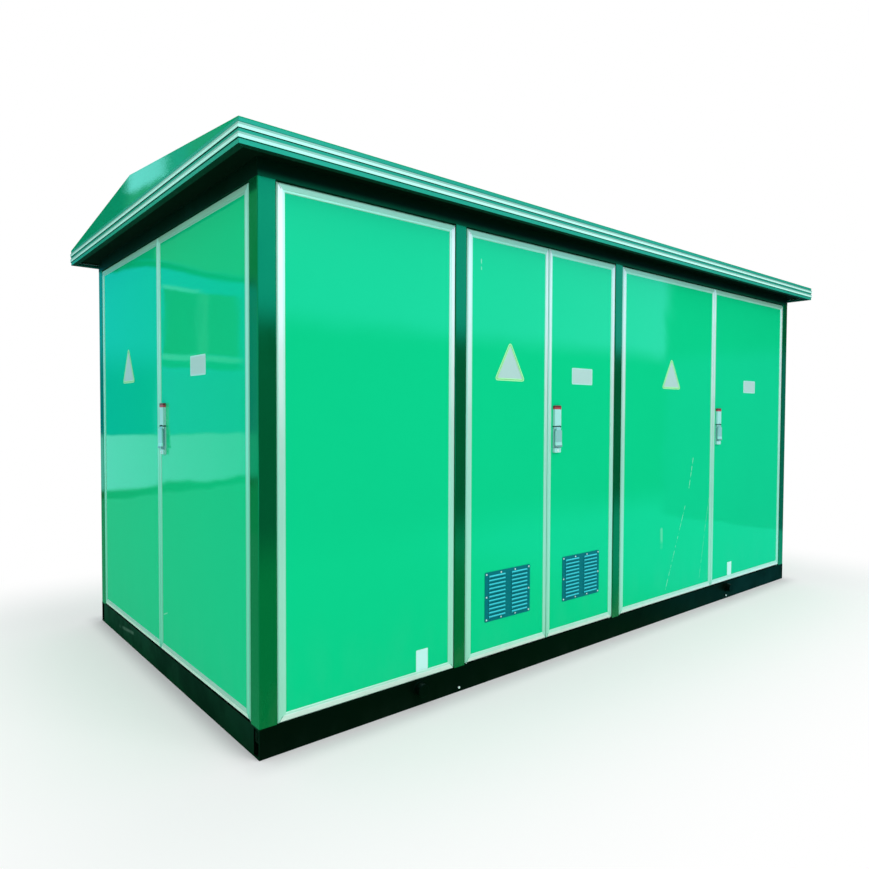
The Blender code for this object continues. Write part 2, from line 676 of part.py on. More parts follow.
def build_lock(name, pivot, centre):
    """Lock body on the leaf, stepped back behind its lever, and the lever that folds out of it."""
    front = -LOCK_OUT - PIVOT_DEPTH
    back = BOARD_SET_BACK - FIT - PIVOT_DEPTH
    outline = rounded_outline(rectangle(centre, LOCK_CENTRE, LOCK_WIDTH, LOCK_HEIGHT), LOCK_CORNER)
    shell = prism_mesh(f"{name}_lock_body", outline, front, back, "Y")
    model = bmesh.new()
    model.from_mesh(shell)
    bpy.data.meshes.remove(shell)
    rim = [edge for edge in model.edges if edge.calc_face_angle(0.0) > math.pi / 4
           and all(vert.co.y < front + FIT for vert in edge.verts)]
    bmesh.ops.bevel(model, geom=rim, offset=LOCK_EDGE, segments=2, profile=0.5, affect="EDGES")
    body = add_part(f"{name}_lock_body", mesh_from(f"{name}_lock_body", model), "lock_body", pivot)

    axis = Vector((centre, -LEVER_AXIS_OUT - PIVOT_DEPTH, LOCK_CENTRE + LEVER_AXIS_RISE))
    half = LOCK_POCKET_WIDTH / 2
    groove = LOCK_CENTRE + LOCK_HEIGHT / 2 - LOCK_CAP
    ear_foot = axis.z - LEVER_SHOULDER + LEVER_CLEARANCE + LEVER_SIDE
    foot = axis.z - LEVER_LENGTH - LEVER_CLEARANCE
    head = axis.z + LOCK_POCKET_HEAD
    step = [(centre - half, head), (centre + half, head), (centre + half, ear_foot),
            (centre + LOCK_WIDTH, ear_foot), (centre + LOCK_WIDTH, foot),
            (centre - LOCK_WIDTH, foot), (centre - LOCK_WIDTH, ear_foot), (centre - half, ear_foot)]
    pocket = prism_mesh(f"{name}_pocket", step, front - WELD, back - LOCK_POCKET_FLOOR, "Y")
    combine(body, add_cutter(f"{name}_pocket", pocket, pivot), "DIFFERENCE")
    line = box_mesh(f"{name}_groove", (centre - LOCK_WIDTH, front - WELD, groove - LOCK_GROOVE),
                    (centre + LOCK_WIDTH, front + LOCK_GROOVE, groove))
    combine(body, add_cutter(f"{name}_groove", line, pivot), "DIFFERENCE")
    sideways = Matrix.Rotation(math.pi / 2, 4, "Y")
    pin = LOCK_POCKET_WIDTH + 2 * LEVER_PIN_SEAT
    hole = [(axis, LEVER_PIN_RADIUS + FIT, pin + 2 * FIT, sideways)]
    combine(body, add_cutter(f"{name}_pin_hole", cylinders_mesh(f"{name}_pin_hole", hole), pivot),
            "DIFFERENCE")

    hinge = add_empty(f"{name}_lever_pivot", axis, parent=pivot)
    half = LEVER_WIDTH / 2
    lever = add_part(f"{name}_lever", prism_mesh(f"{name}_lever", bar_outline(), -half, half, "X"),
                     "lever_grey", hinge)
    half = LEVER_NECK_WIDTH / 2
    neck = prism_mesh(f"{name}_neck", neck_outline(), -half, half, "X")
    combine(lever, add_cutter(f"{name}_neck", neck, hinge), "UNION")
    rod = [((0, 0, 0), LEVER_PIN_RADIUS, pin, sideways)]
    combine(lever, add_cutter(f"{name}_pin", cylinders_mesh(f"{name}_pin", rod), hinge), "UNION")


def build_fixed(name, wall, left, bay, pair):
    """One fixed bay: a board held by its edge frame, with a centre strip where it's a pair."""
    width = bay - 2 * FIXED_GAP
    bottom = BASE_HEIGHT + FIT
    height = FRAME_TOP - bottom
    depth = STOP_FRONT - FIT
    place = (left + FIXED_GAP, 0.0, bottom)
    frame = mesh_from(f"{name}_frame", frame_model(width, height, depth))
    edge = add_part(f"{name}_frame", frame, "edge_aluminium", wall, place)
    if pair:
        reach = FRAME_FACE - FRAME_BEAD - FRAME_LIP
        half = width / 2
        strip = [((half - MEETING_FACE, 0.0, reach), (half - FIT, BOARD_SET_BACK - FIT, height - reach)),
                 ((half + FIT, 0.0, reach), (half + MEETING_FACE, BOARD_SET_BACK - FIT, height - reach)),
                 ((half - FIXED_GAP, FRAME_BEAD_DROP, reach),
                  (half + FIXED_GAP, BOARD_SET_BACK - FIT, height - reach))]
        for number, (low, high) in enumerate(strip, 1):
            mesh = box_mesh(f"{name}_strip_{number}", low, high)
            combine(edge, add_cutter(mesh.name, mesh, wall, place), "UNION")
    board = box_mesh(f"{name}_board", (FRAME_FACE + FIT, BOARD_SET_BACK, FRAME_FACE + FIT),
                     (width - FRAME_FACE - FIT, depth, height - FRAME_FACE - FIT))
    add_part(f"{name}_board", board, "board_green", wall, place)


def build_door_pair(name, wall, left, bay, louvre=False):
    """Two leaves that meet in the middle of a bay; the right one carries the lock."""
    width = (bay - 3 * LEAF_GAP) / 2
    build_leaf(f"{name}_left_leaf", wall, left + LEAF_GAP, width, False, louvre, False)
    build_leaf(f"{name}_right_leaf", wall, left + bay - LEAF_GAP, width, True, louvre, True)


def build_walls():
    """Bays of the four walls, each seen from outside and filled from its left."""
    x = LENGTH / 2
    y = WIDTH / 2
    front = add_empty("front_wall", (-x, -y, 0.0))
    back = add_empty("back_wall", (x, y, 0.0), math.pi)
    left = add_empty("left_wall", (-x, y, 0.0), -math.pi / 2)
    right = add_empty("right_wall", (x, -y, 0.0), math.pi / 2)

    start = CORNER_POST
    build_fixed("front_bay_1", front, start, FIXED_BAY, False)
    start += FIXED_BAY + MID_POST
    build_door_pair("front_bay_2", front, start, NARROW_BAY, True)
    start += NARROW_BAY + MID_POST
    build_door_pair("front_bay_3", front, start, WIDE_BAY)

    start = CORNER_POST
    build_fixed("back_bay_3", back, start, WIDE_BAY, True)
    start += WIDE_BAY + MID_POST
    build_fixed("back_bay_2", back, start, NARROW_BAY, True)
    start += NARROW_BAY + MID_POST
    build_fixed("back_bay_1", back, start, FIXED_BAY, False)

    build_door_pair("left_end", left, CORNER_POST, END_BAY)
    build_fixed("right_end", right, CORNER_POST, END_BAY, True)


def eave_outline(outer, inward):
    """Section of the eave board: one sheet with two pressed ribs and a lip at each edge."""
    top = EAVE_TOP - ROOF_SHEET - FIT
    path = [(0.0, EAVE_BOTTOM)]
    for low, high in EAVE_RIBS:
        low += EAVE_BOTTOM
        high += EAVE_BOTTOM
        path += [(0.0, low), (-EAVE_RIB_OUT, low + EAVE_RIB_SLOPE),
                 (-EAVE_RIB_OUT, high - EAVE_RIB_SLOPE), (0.0, high)]
    path.append((0.0, top))
    inner = [(depth + EAVE_SHEET, height) for depth, height in path[1:-1]]
    lower = [(EAVE_LIP, EAVE_BOTTOM), (EAVE_LIP, EAVE_BOTTOM + EAVE_SHEET),
             (EAVE_SHEET, EAVE_BOTTOM + EAVE_SHEET)]
    upper = [(EAVE_SHEET, top - EAVE_SHEET), (EAVE_LIP, top - EAVE_SHEET), (EAVE_LIP, top)]
    section = lower + inner + upper + path[::-1]
    return [(outer + inward * depth, height) for depth, height in section]


def mitre(model, point, normal):
    """Cut a bar off at a slanted plane and close the end."""
    geometry = model.verts[:] + model.edges[:] + model.faces[:]
    bmesh.ops.bisect_plane(model, geom=geometry, plane_co=point, plane_no=normal, clear_outer=True,
                           dist=1e-6)
    rim = [edge for edge in model.edges if edge.is_boundary]
    bmesh.ops.contextual_create(model, geom=rim)


def build_eaves():
    """Four eave boards, mitred at the corners."""
    x = LENGTH / 2 + OVERHANG - EAVE_RIB_OUT
    y = WIDTH / 2 + OVERHANG - EAVE_RIB_OUT
    for name, along, outer, inward, half in (("front", "X", -y, 1, x), ("back", "X", y, -1, x),
                                             ("left", "Y", -x, 1, y), ("right", "Y", x, -1, y)):
        name = f"eave_{name}"
        reach = half + OVERHANG
        bar = prism_mesh(name, eave_outline(outer, inward), -reach, reach, along)
        model = bmesh.new()
        model.from_mesh(bar)
        bpy.data.meshes.remove(bar)
        for end in (-1, 1):
            point = [end * (half - FIT), outer, 0.0]
            normal = [end, inward, 0.0]
            if along == "Y":
                point[0], point[1] = point[1], point[0]
                normal[0], normal[1] = normal[1], normal[0]
            mitre(model, point, Vector(normal).normalized())
        add_part(name, mesh_from(name, model), "eave_green")


def build_ceiling():
    """Ceiling tray whose turned-up edges are fixed to the eave boards."""
    x = LENGTH / 2 + OVERHANG - EAVE_RIB_OUT - EAVE_SHEET - FIT
    y = WIDTH / 2 + OVERHANG - EAVE_RIB_OUT - EAVE_SHEET - FIT
    low = BEAM_TOP + FIT
    high = low + CEILING_UPSTAND
    tray = add_part("ceiling_sheet", box_mesh("ceiling_sheet", (-x, -y, low), (x, y, high)), "soffit_dark")
    inner = CEILING_THICK
    hollow = box_mesh("ceiling_hollow", (inner - x, inner - y, low + inner),
                      (x - inner, y - inner, high + WELD))
    combine(tray, add_cutter("ceiling_hollow", hollow), "DIFFERENCE")


def build_roof():
    """Two roof slopes and the gable plates under their ends."""
    x = LENGTH / 2 + OVERHANG - EAVE_RIB_OUT
    y = WIDTH / 2 + OVERHANG - EAVE_RIB_OUT
    eave = EAVE_TOP - ROOF_SHEET
    ridge = RIDGE_TOP - ROOF_SHEET
    for side, sy in (("front", -1), ("back", 1)):
        middle = sy * FIT / 2
        outline = [(sy * y, eave), (middle, ridge), (middle, RIDGE_TOP), (sy * y, EAVE_TOP)]
        name = f"roof_slope_{side}"
        add_part(name, prism_mesh(name, outline, -x, x, "X"), "roof_green")
    slope = (ridge - eave) / y
    near = y - GABLE_TIP
    tip = eave + slope * GABLE_TIP - FIT
    outline = [(-near, eave), (near, eave), (near, tip), (0, ridge - FIT), (-near, tip)]
    for side, outer, inward in (("left", -x, 1), ("right", x, -1)):
        start, end = sorted((outer, outer + inward * EAVE_SHEET))
        add_part(f"gable_{side}", prism_mesh(f"gable_{side}", outline, start, end, "X"), "roof_green")


def main():
    clear_scene()
    make_collections()
    make_materials()
    build_base()
    build_floor()
    build_posts()
    build_ring_beam()
    build_walls()
    build_eaves()
    build_ceiling()
    build_roof()


main()
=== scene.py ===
"""Finishes, plates, screws, lock trim, seams and the stage for a compact substation housing."""

import json
import math

import bpy
from bpy.props import FloatProperty, FloatVectorProperty, IntProperty, PointerProperty
from mathutils import Color, Matrix, Vector

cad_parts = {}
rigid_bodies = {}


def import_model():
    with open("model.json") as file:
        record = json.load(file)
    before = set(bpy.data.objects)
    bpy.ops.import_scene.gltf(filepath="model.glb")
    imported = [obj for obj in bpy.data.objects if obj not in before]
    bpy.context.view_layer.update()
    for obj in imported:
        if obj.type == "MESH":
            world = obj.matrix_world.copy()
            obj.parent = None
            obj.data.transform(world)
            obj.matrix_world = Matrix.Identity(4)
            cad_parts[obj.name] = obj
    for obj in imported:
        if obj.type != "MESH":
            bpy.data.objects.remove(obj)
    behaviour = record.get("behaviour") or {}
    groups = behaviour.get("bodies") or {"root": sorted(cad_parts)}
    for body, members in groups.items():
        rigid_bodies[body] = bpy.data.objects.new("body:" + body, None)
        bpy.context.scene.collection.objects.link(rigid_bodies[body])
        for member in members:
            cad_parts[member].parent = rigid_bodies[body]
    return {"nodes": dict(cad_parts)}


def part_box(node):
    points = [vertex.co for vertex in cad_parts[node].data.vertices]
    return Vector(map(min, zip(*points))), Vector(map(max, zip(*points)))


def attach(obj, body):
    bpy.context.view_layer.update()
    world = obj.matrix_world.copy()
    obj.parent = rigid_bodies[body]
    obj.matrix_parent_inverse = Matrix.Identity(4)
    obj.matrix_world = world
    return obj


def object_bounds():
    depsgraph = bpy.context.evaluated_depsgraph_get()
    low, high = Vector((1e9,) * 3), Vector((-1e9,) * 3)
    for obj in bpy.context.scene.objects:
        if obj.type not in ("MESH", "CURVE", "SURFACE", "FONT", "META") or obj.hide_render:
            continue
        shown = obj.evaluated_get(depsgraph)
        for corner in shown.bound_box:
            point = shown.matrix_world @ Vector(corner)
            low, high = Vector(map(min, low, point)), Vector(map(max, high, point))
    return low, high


for leftover in list(bpy.data.objects):
    bpy.data.objects.remove(leftover, do_unlink=True)
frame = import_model()
CAD_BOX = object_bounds()

bl_info = {
    "name": "Compact substation looks",
    "version": (1, 0, 0),
    "blender": (4, 5, 0),
    "location": "View3D > Sidebar > Substation",
    "description": "Paints the housing and adds its plates, screws, lock trim, seams and stage",
    "category": "Object",
}

# Walls as seen from outside: x runs to the right, y runs inwards, z is up.
FACING = {
    "front": Matrix.Identity(4),
    "left": Matrix.Rotation(-math.pi / 2, 4, "Z"),
    "back": Matrix.Rotation(math.pi, 4, "Z"),
    "right": Matrix.Rotation(math.pi / 2, 4, "Z"),
}
LEAVES = {
    "front_bay_2_left_leaf": "front",
    "front_bay_2_right_leaf": "front",
    "front_bay_3_left_leaf": "front",
    "front_bay_3_right_leaf": "front",
    "left_end_left_leaf": "left",
    "left_end_right_leaf": "left",
}
FIXED_BAYS = {
    "front_bay_1": "front",
    "back_bay_1": "back",
    "back_bay_2": "back",
    "back_bay_3": "back",
    "right_end": "right",
}
LEFT_LEAVES = {leaf: wall for leaf, wall in LEAVES.items() if leaf.endswith("left_leaf")}
RIGHT_LEAVES = {leaf: wall for leaf, wall in LEAVES.items() if leaf.endswith("right_leaf")}
UPRIGHT = (math.pi / 2, 0.0, 0.0)
LIFT = 0.0002

# Sizes taken from the solids.
BAR_WIDTH = 0.0383
LOUVRE_SHEET = 0.0028
STUB_LEFT = 0.820
STUB_RIGHT = 0.985
STUB_HEIGHT = 0.082
STUB_RADIUS = 0.031

# A mitre line starts this far inside a frame's corner, ends this short of the board's edge and
# climbs this far from the frame's foot or head.
SEAM_START = 0.006
SEAM_SHORT = 0.0183
SEAM_CLIMB = 0.026

# Key barrels, and earth bolts along the front.
BARREL_RADIUS = 0.0075
BARREL_DEPTH = 0.0012
BARREL_RISE = 0.0115
EARTH_BOLTS = (-1.335, 1.413)
BOLT_RISE = 0.022
WASHER = 0.002

# Bands inside the outer face of a plate, from its rim inwards: width, share of the thickness
# that the face sinks, and material slot.
TRIANGLE_BANDS = ((0.0050, 0.2, 1), (0.0035, 0.0, 0), (0.0050, 0.0, 2))
PLATE_BANDS = ((0.0022, 0.2, 2), (0.0026, 0.0, 0), (0.0014, 0.0, 1))
LABEL_BANDS = ((0.0024, 0.0, 1), (0.0008, 0.0, 0))


def colour(name, description, value):
    return FloatVectorProperty(name=name, description=description, default=value, size=3,
                               min=0.0, max=1.0, subtype="COLOR")


def length(name, description, value):
    return FloatProperty(name=name, description=description, default=value, min=0.0,
                         precision=4, subtype="DISTANCE", unit="LENGTH")


class SubstationColours(bpy.types.PropertyGroup):
    """Paints and metals of the housing, as linear colours."""
    board: colour("Boards", "Bright green of the door and wall boards", (0.0035, 0.610, 0.255))
    post: colour("Posts", "Dark green of the posts", (0.0008, 0.086, 0.028))
    beam: colour("Ring beam", "Dark green of the ring beam", (0.0010, 0.070, 0.030))
    base: colour("Base", "Green-black of the channel base", (0.0008, 0.0030, 0.0012))
    # The ceiling's dark green with painted shade: nearly black, as the deep shade under the eave.
    soffit: colour("Soffit", "Dark green of the ceiling sheet", (0.0006, 0.0095, 0.0035))
    roof: colour("Roof", "Green of the roof slopes and gables", (0.005, 0.340, 0.175))
    eave: colour("Eave", "Green of the eave boards between the ribs", (0.014, 0.330, 0.230))
    rib: colour("Eave ribs", "Pale ribs of the eave boards", (0.520, 0.930, 0.830))
    aluminium: colour("Frames", "Aluminium of the edge frames near the ground", (0.440, 0.850, 0.700))
    # Painted light on the frames: a reflection on the upper bars, shade with a green cast on the left end's
    # bars, shade on the head bars, highlights on the sill bars and on the chamfers and beads.
    upper_bars_reflection: colour("Upper bars", "Cleaner aluminium of the bars higher up", (0.800, 0.910, 0.870))
    left_bars_shade: colour("Left bars", "Green cast on the upright bars of the left end", (0.560, 0.970, 0.880))
    head_bars: colour("Head bars", "Shaded aluminium of the level bars at the top", (0.330, 0.660, 0.500))
    sill_bars_highlight: colour("Sill bars", "Worn aluminium of the level bars at the bottom", (0.860, 0.950, 0.910))
    bar_edge_highlight: colour("Bar edges", "Bright chamfers and beads of the edge frames", (0.450, 0.930, 0.750))
    pivots: colour("Pivots", "Dark steel of the pivot pins", (0.020, 0.045, 0.030))
    louvre: colour("Louvre plate", "Dark teal of the louvre plates", (0.001, 0.160, 0.190))
    # Painted highlight: the light that the raised hoods catch, over the louvre plate's own teal.
    hood_highlight: colour("Louvre hoods", "Light cyan of the raised hoods", (0.050, 0.640, 0.720))
    lock: colour("Lock bodies", "Pale enamel of the lock bodies", (0.360, 0.740, 0.710))
    cap: colour("Lock caps", "Red of the lock caps", (0.480, 0.060, 0.080))
    lever: colour("Levers", "Grey of the folding levers", (0.340, 0.700, 0.690))
    floor: colour("Floor tray", "Grey of the floor tray", (0.180, 0.190, 0.185))
    plate: colour("Plates", "Pale field of the plates", (0.430, 0.640, 0.610))
    border: colour("Plate borders", "Light border of the triangular plates", (0.400, 0.930, 0.450))
    rim: colour("Plate rims", "Green line inside that border", (0.190, 0.480, 0.150))
    label: colour("Labels", "White of the small labels", (0.560, 0.900, 0.860))
    zinc: colour("Fasteners", "Bright zinc of the screws and bolts", (0.820, 0.950, 0.930))


class SubstationPlates(bpy.types.PropertyGroup):
    """Plates and labels on the leaves."""
    triangle_width: length("Triangle width", "Base length of a triangular plate", 0.236)
    triangle_height: length("Triangle height", "Height of a triangular plate", 0.212)
    triangle_rise: length("Triangle rise", "Lower edge of the triangular plates over the ground", 1.576)
    triangle_corner: length("Triangle corner", "Rounding of the corners of a triangular plate", 0.026)
    plate_width: length("Plate width", "Width of a rectangular plate", 0.190)
    plate_height: length("Plate height", "Height of a rectangular plate", 0.095)
    plate_rise: length("Plate rise", "Middle of the rectangular plates over the ground", 1.623)
    plate_corner: length("Plate corner", "Rounding of the corners of a rectangular plate", 0.007)
    label_width: length("Label width", "Width of the label on the fixed bay", 0.072)
    label_height: length("Label height", "Height of the label on the fixed bay", 0.102)
    label_inset: length("Label inset", "Right edge of that label to the edge of its board", 0.128)
    leaf_label_width: length("Leaf label width", "Width of the label on the wide leaf", 0.064)
    leaf_label_height: length("Leaf label height", "Height of the label on the wide leaf", 0.101)
    leaf_label_inset: length("Leaf label inset", "Left edge of that label to the edge of its board", 0.229)
    thickness: length("Thickness", "Thickness of plates and labels", 0.0010)


class SubstationFixings(bpy.types.PropertyGroup):
    """Screws, bolts, weld beads and seams."""
    screw_radius: length("Screw radius", "Radius of a louvre screw head", 0.0046)
    screw_head: length("Screw head", "Height of a louvre screw head", 0.0022)
    screw_inset: length("Screw inset", "Distance of the screws from the edge of a louvre plate", 0.011)
    screws_across: IntProperty(name="Screws across", description="Screws in the top or bottom row",
                               default=4, min=2, max=8)
    bolt_radius: length("Bolt radius", "Radius over the corners of an earth bolt head", 0.0065)
    bolt_head: length("Bolt head", "Height of an earth bolt head", 0.0050)
    weld_width: length("Weld width", "Leg of the weld bead round a lifting stub", 0.005)
    seam_width: length("Seam width", "Width of the mitre line of a frame", 0.0014)


class SubstationStage(bpy.types.PropertyGroup):
    """Floor, lamps and camera."""
    floor_size: length("Floor size", "Side of the square floor", 60.0)
    card_gap: length("Card gap", "Distance of the reflection cards from the housing", 2.5)
    card_height: length("Card height", "Height of the reflection cards", 6.0)
    key_power: FloatProperty(name="Key power", description="Power of the large key lamp",
                             default=560.0, min=0.0, subtype="POWER", unit="POWER")
    fill_power: FloatProperty(name="Fill power", description="Power of the lamp on the end side",
                              default=60.0, min=0.0, subtype="POWER", unit="POWER")
    sky: FloatProperty(name="Sky", description="Strength of the soft light all round",
                       default=0.85, min=0.0)
    focal_length: FloatProperty(name="Focal length", description="Lens of the camera, in millimetres",
                                default=27.87, min=1.0)


class NodeBuilder:
    """A short way to add and join the nodes of one tree."""

    def __init__(self, tree):
        self.tree = tree

    def add(self, kind, inputs=None, **settings):
        node = self.tree.nodes.new(kind)
        for name, value in settings.items():
            setattr(node, name, value)
        for name, value in (inputs or {}).items():
            self.put(node.inputs[name], value)
        return node

    def put(self, socket, value):
        if isinstance(value, bpy.types.NodeSocket):
            self.tree.links.new(value, socket)
        elif isinstance(value, (tuple, Color)) and socket.type == "RGBA":
            socket.default_value = (*value[:3], 1.0)
        else:
            socket.default_value = value

    def math(self, operation, first, second=0.0, third=0.0, clamp=False):
        node = self.add("ShaderNodeMath", operation=operation, use_clamp=clamp)
        for socket, value in zip(node.inputs, (first, second, third)):
            self.put(socket, value)
        return node.outputs[0]

    def vector(self, operation, first, second=(0.0, 0.0, 0.0), output=0):
        node = self.add("ShaderNodeVectorMath", operation=operation)
        self.put(node.inputs[0], first)
        self.put(node.inputs[1], second)
        return node.outputs[output]

    def step(self, value, low, high, start=0.0, end=1.0):
        node = self.add("ShaderNodeMapRange", interpolation_type="SMOOTHSTEP")
        for name, entry in (("Value", value), ("From Min", low), ("From Max", high),
                            ("To Min", start), ("To Max", end)):
            self.put(node.inputs[name], entry)
        return node.outputs["Result"]

    def noise(self, position, scale, detail=2.0, roughness=0.5):
        node = self.add("ShaderNodeTexNoise",
                        {"Vector": position, "Scale": scale, "Detail": detail, "Roughness": roughness})
        return node.outputs["Fac"]

    def mix(self, factor, first, second, blend="MIX"):
        node = self.add("ShaderNodeMix", data_type="RGBA", blend_type=blend)
        for socket, value in ((node.inputs[0], factor), (node.inputs[6], first), (node.inputs[7], second)):
            self.put(socket, value)
        return node.outputs[2]

    def group(self, key, inputs, output="Mask"):
        node = self.add("ShaderNodeGroup", node_tree=groups[key])
        for name, value in inputs.items():
            self.put(node.inputs[name], value)
        return node.outputs[output] if output else node.outputs

    def times(self, first, second, clamp=False):
        return self.math("MULTIPLY", first, second, clamp=clamp)

    def plus(self, first, second, clamp=False):
        return self.math("ADD", first, second, clamp=clamp)

    def minus(self, first, second):
        return self.math("SUBTRACT", first, second)

    def parts(self, vector):
        return self.add("ShaderNodeSeparateXYZ", {"Vector": vector}).outputs

    def place(self):
        return self.add("ShaderNodeTexCoord").outputs["Object"]

    def between(self, value, low, high, softness):
        return self.group("band", {"Value": value, "Low": low, "High": high, "Softness": softness})


def cleared(owner):
    """The builder of a material or world whose nodes are switched on and cleared."""
    owner.use_nodes = True
    owner.node_tree.nodes.clear()
    return NodeBuilder(owner.node_tree)


def make_group(name, inputs, outputs):
    """An empty node group, its builder and its two ends. An input with no value is a vector."""
    tree = bpy.data.node_groups.new(name, "ShaderNodeTree")
    for socket, value in inputs.items():
        kind = "NodeSocketVector" if value is None else "NodeSocketFloat"
        made = tree.interface.new_socket(socket, in_out="INPUT", socket_type=kind)
        if value is not None:
            made.default_value = value
    for socket in outputs:
        tree.interface.new_socket(socket, in_out="OUTPUT", socket_type="NodeSocketFloat")
    build = NodeBuilder(tree)
    return tree, build, build.add("NodeGroupInput").outputs, build.add("NodeGroupOutput").inputs


def coat_unevenness():
    """Sprayed paint: slow tone drift, fine orange peel and patches of lower gloss."""
    tree, build, given, out = make_group(
        "Coat Unevenness",
        {"Position": None, "Drift Size": 1.2, "Drift": 0.04, "Peel Size": 260.0, "Wave Size": 2.2,
         "Wave": 0.0, "Smooth Roughness": 0.2, "Dull Roughness": 0.35},
        ("Tone", "Roughness", "Height"))
    slow = build.noise(given["Position"], given["Drift Size"], 2.0)
    spread = build.times(build.minus(slow, 0.5), given["Drift"])
    build.put(out["Tone"], build.plus(spread, 1.0))
    patches = build.noise(given["Position"], build.times(given["Drift Size"], 3.3), 4.0, 0.6)
    build.put(out["Roughness"], build.step(patches, 0.3, 0.75, given["Smooth Roughness"],
                                           given["Dull Roughness"]))
    peel = build.noise(given["Position"], given["Peel Size"], 1.0)
    wave = build.times(build.noise(given["Position"], given["Wave Size"], 2.0), given["Wave"])
    build.put(out["Height"], build.plus(peel, wave))
    return tree


def ground_dust():
    """Dust that thins out with height over the ground, broken into patches and runs."""
    tree, build, given, out = make_group(
        "Ground Dust",
        {"Position": None, "Full Below": 0.02, "None Above": 0.5, "Patch Size": 9.0, "Amount": 0.5},
        ("Mask",))
    height = build.parts(given["Position"])["Z"]
    fade = build.step(height, given["Full Below"], given["None Above"], 1.0, 0.0)
    runs = build.vector("MULTIPLY", given["Position"], (1.0, 1.0, 0.35))
    patches = build.step(build.noise(runs, given["Patch Size"], 6.0, 0.65), 0.35, 0.7)
    mask = build.times(build.times(fade, fade), patches)
    build.put(out["Mask"], build.times(mask, given["Amount"], clamp=True))
    return tree


def band_mask():
    """One between two values of a coordinate and zero outside them."""
    tree, build, given, out = make_group(
        "Band", {"Value": 0.0, "Low": 0.0, "High": 1.0, "Softness": 0.001}, ("Mask",))
    value, soft = given["Value"], given["Softness"]
    rise = build.step(value, build.minus(given["Low"], soft), build.plus(given["Low"], soft))
    fall = build.step(value, build.minus(given["High"], soft), build.plus(given["High"], soft), 1.0, 0.0)
    build.put(out["Mask"], build.times(rise, fall))
    return tree


def scratch_line():
    """A straight scratch between two points, broken along its length."""
    tree, build, given, out = make_group(
        "Scratch Line",
        {"Position": None, "Start": None, "End": None, "Width": 0.003, "Breaks": 30.0, "Strength": 0.8},
        ("Mask",))
    along = build.vector("SUBTRACT", given["End"], given["Start"])
    reach = build.vector("SUBTRACT", given["Position"], given["Start"])
    share = build.math("DIVIDE", build.vector("DOT_PRODUCT", reach, along, output=1),
                       build.vector("DOT_PRODUCT", along, along, output=1), clamp=True)
    scaled = build.add("ShaderNodeVectorMath", operation="SCALE")
    build.put(scaled.inputs[0], along)
    build.put(scaled.inputs["Scale"], share)
    distance = build.vector("LENGTH", build.vector("SUBTRACT", reach, scaled.outputs[0]), output=1)
    core = build.step(distance, build.times(given["Width"], 0.25), given["Width"], 1.0, 0.0)
    breaks = build.step(build.noise(given["Position"], given["Breaks"], 3.0), 0.36, 0.56)
    build.put(out["Mask"], build.times(build.times(core, breaks),
                                      given["Strength"], clamp=True))
    return tree


def mitred_bars():
    """The level bars of the edge frames, up to their mitres, and the way in from a frame's edge."""
    tree, build, given, out = make_group("Mitred Bars", {"Position": None}, ("Level", "Way In"))
    parts = build.parts(given["Position"])
    beside = {}
    for bay, wall in {**LEAVES, **FIXED_BAYS}.items():
        axis = 0 if wall in ("front", "back") else 1
        for edge, rim in zip(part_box(f"{bay}_frame"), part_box(f"{bay}_board")):
            gap = build.math("ABSOLUTE", build.minus(parts[axis], edge[axis]))
            share = build.math("DIVIDE", gap, abs(rim[axis] - edge[axis]))
            beside[wall] = build.math("MINIMUM", share, beside[wall]) if wall in beside else share
    low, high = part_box("right_end_frame")
    ends = build.step(parts["X"], low.x - 0.002, low.x - 0.001, beside["left"], beside["right"])
    fronts = build.step(parts["Y"], 0.0, 0.1, beside["front"], beside["back"])
    at_end = build.step(build.math("ABSOLUTE", parts["X"]), high.x - 0.05, high.x - 0.049)
    across = build.step(at_end, 0.4, 0.6, fronts, ends)
    low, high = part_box("front_bay_1_frame")
    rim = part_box("front_bay_1_board")[0].z - low.z
    level = build.math("MINIMUM", build.minus(parts["Z"], low.z),
                       build.minus(high.z, parts["Z"]))
    level = build.math("DIVIDE", level, rim)
    build.put(out["Level"], build.step(build.minus(level, across), -0.03, 0.03, 1.0, 0.0))
    build.put(out["Way In"], build.math("MINIMUM", level, across))
    return tree


def rain_runs():
    """Faint upright streaks left by rain, strongest under an edge."""
    tree, build, given, out = make_group(
        "Rain Runs", {"Position": None, "Run Size": 26.0, "Amount": 0.3}, ("Mask",))
    stretched = build.vector("MULTIPLY", given["Position"], (1.0, 1.0, 0.06))
    runs = build.step(build.noise(stretched, given["Run Size"], 5.0, 0.6), 0.5, 0.8)
    patches = build.step(build.noise(given["Position"], 1.7, 2.0), 0.4, 0.7)
    build.put(out["Mask"], build.times(build.times(runs, patches),
                                      given["Amount"], clamp=True))
    return tree


GROUP_MAKERS = {
    "coat": coat_unevenness,
    "dust": ground_dust,
    "band": band_mask,
    "scratch": scratch_line,
    "runs": rain_runs,
    "bars": mitred_bars,
}
groups = {}
materials = {}


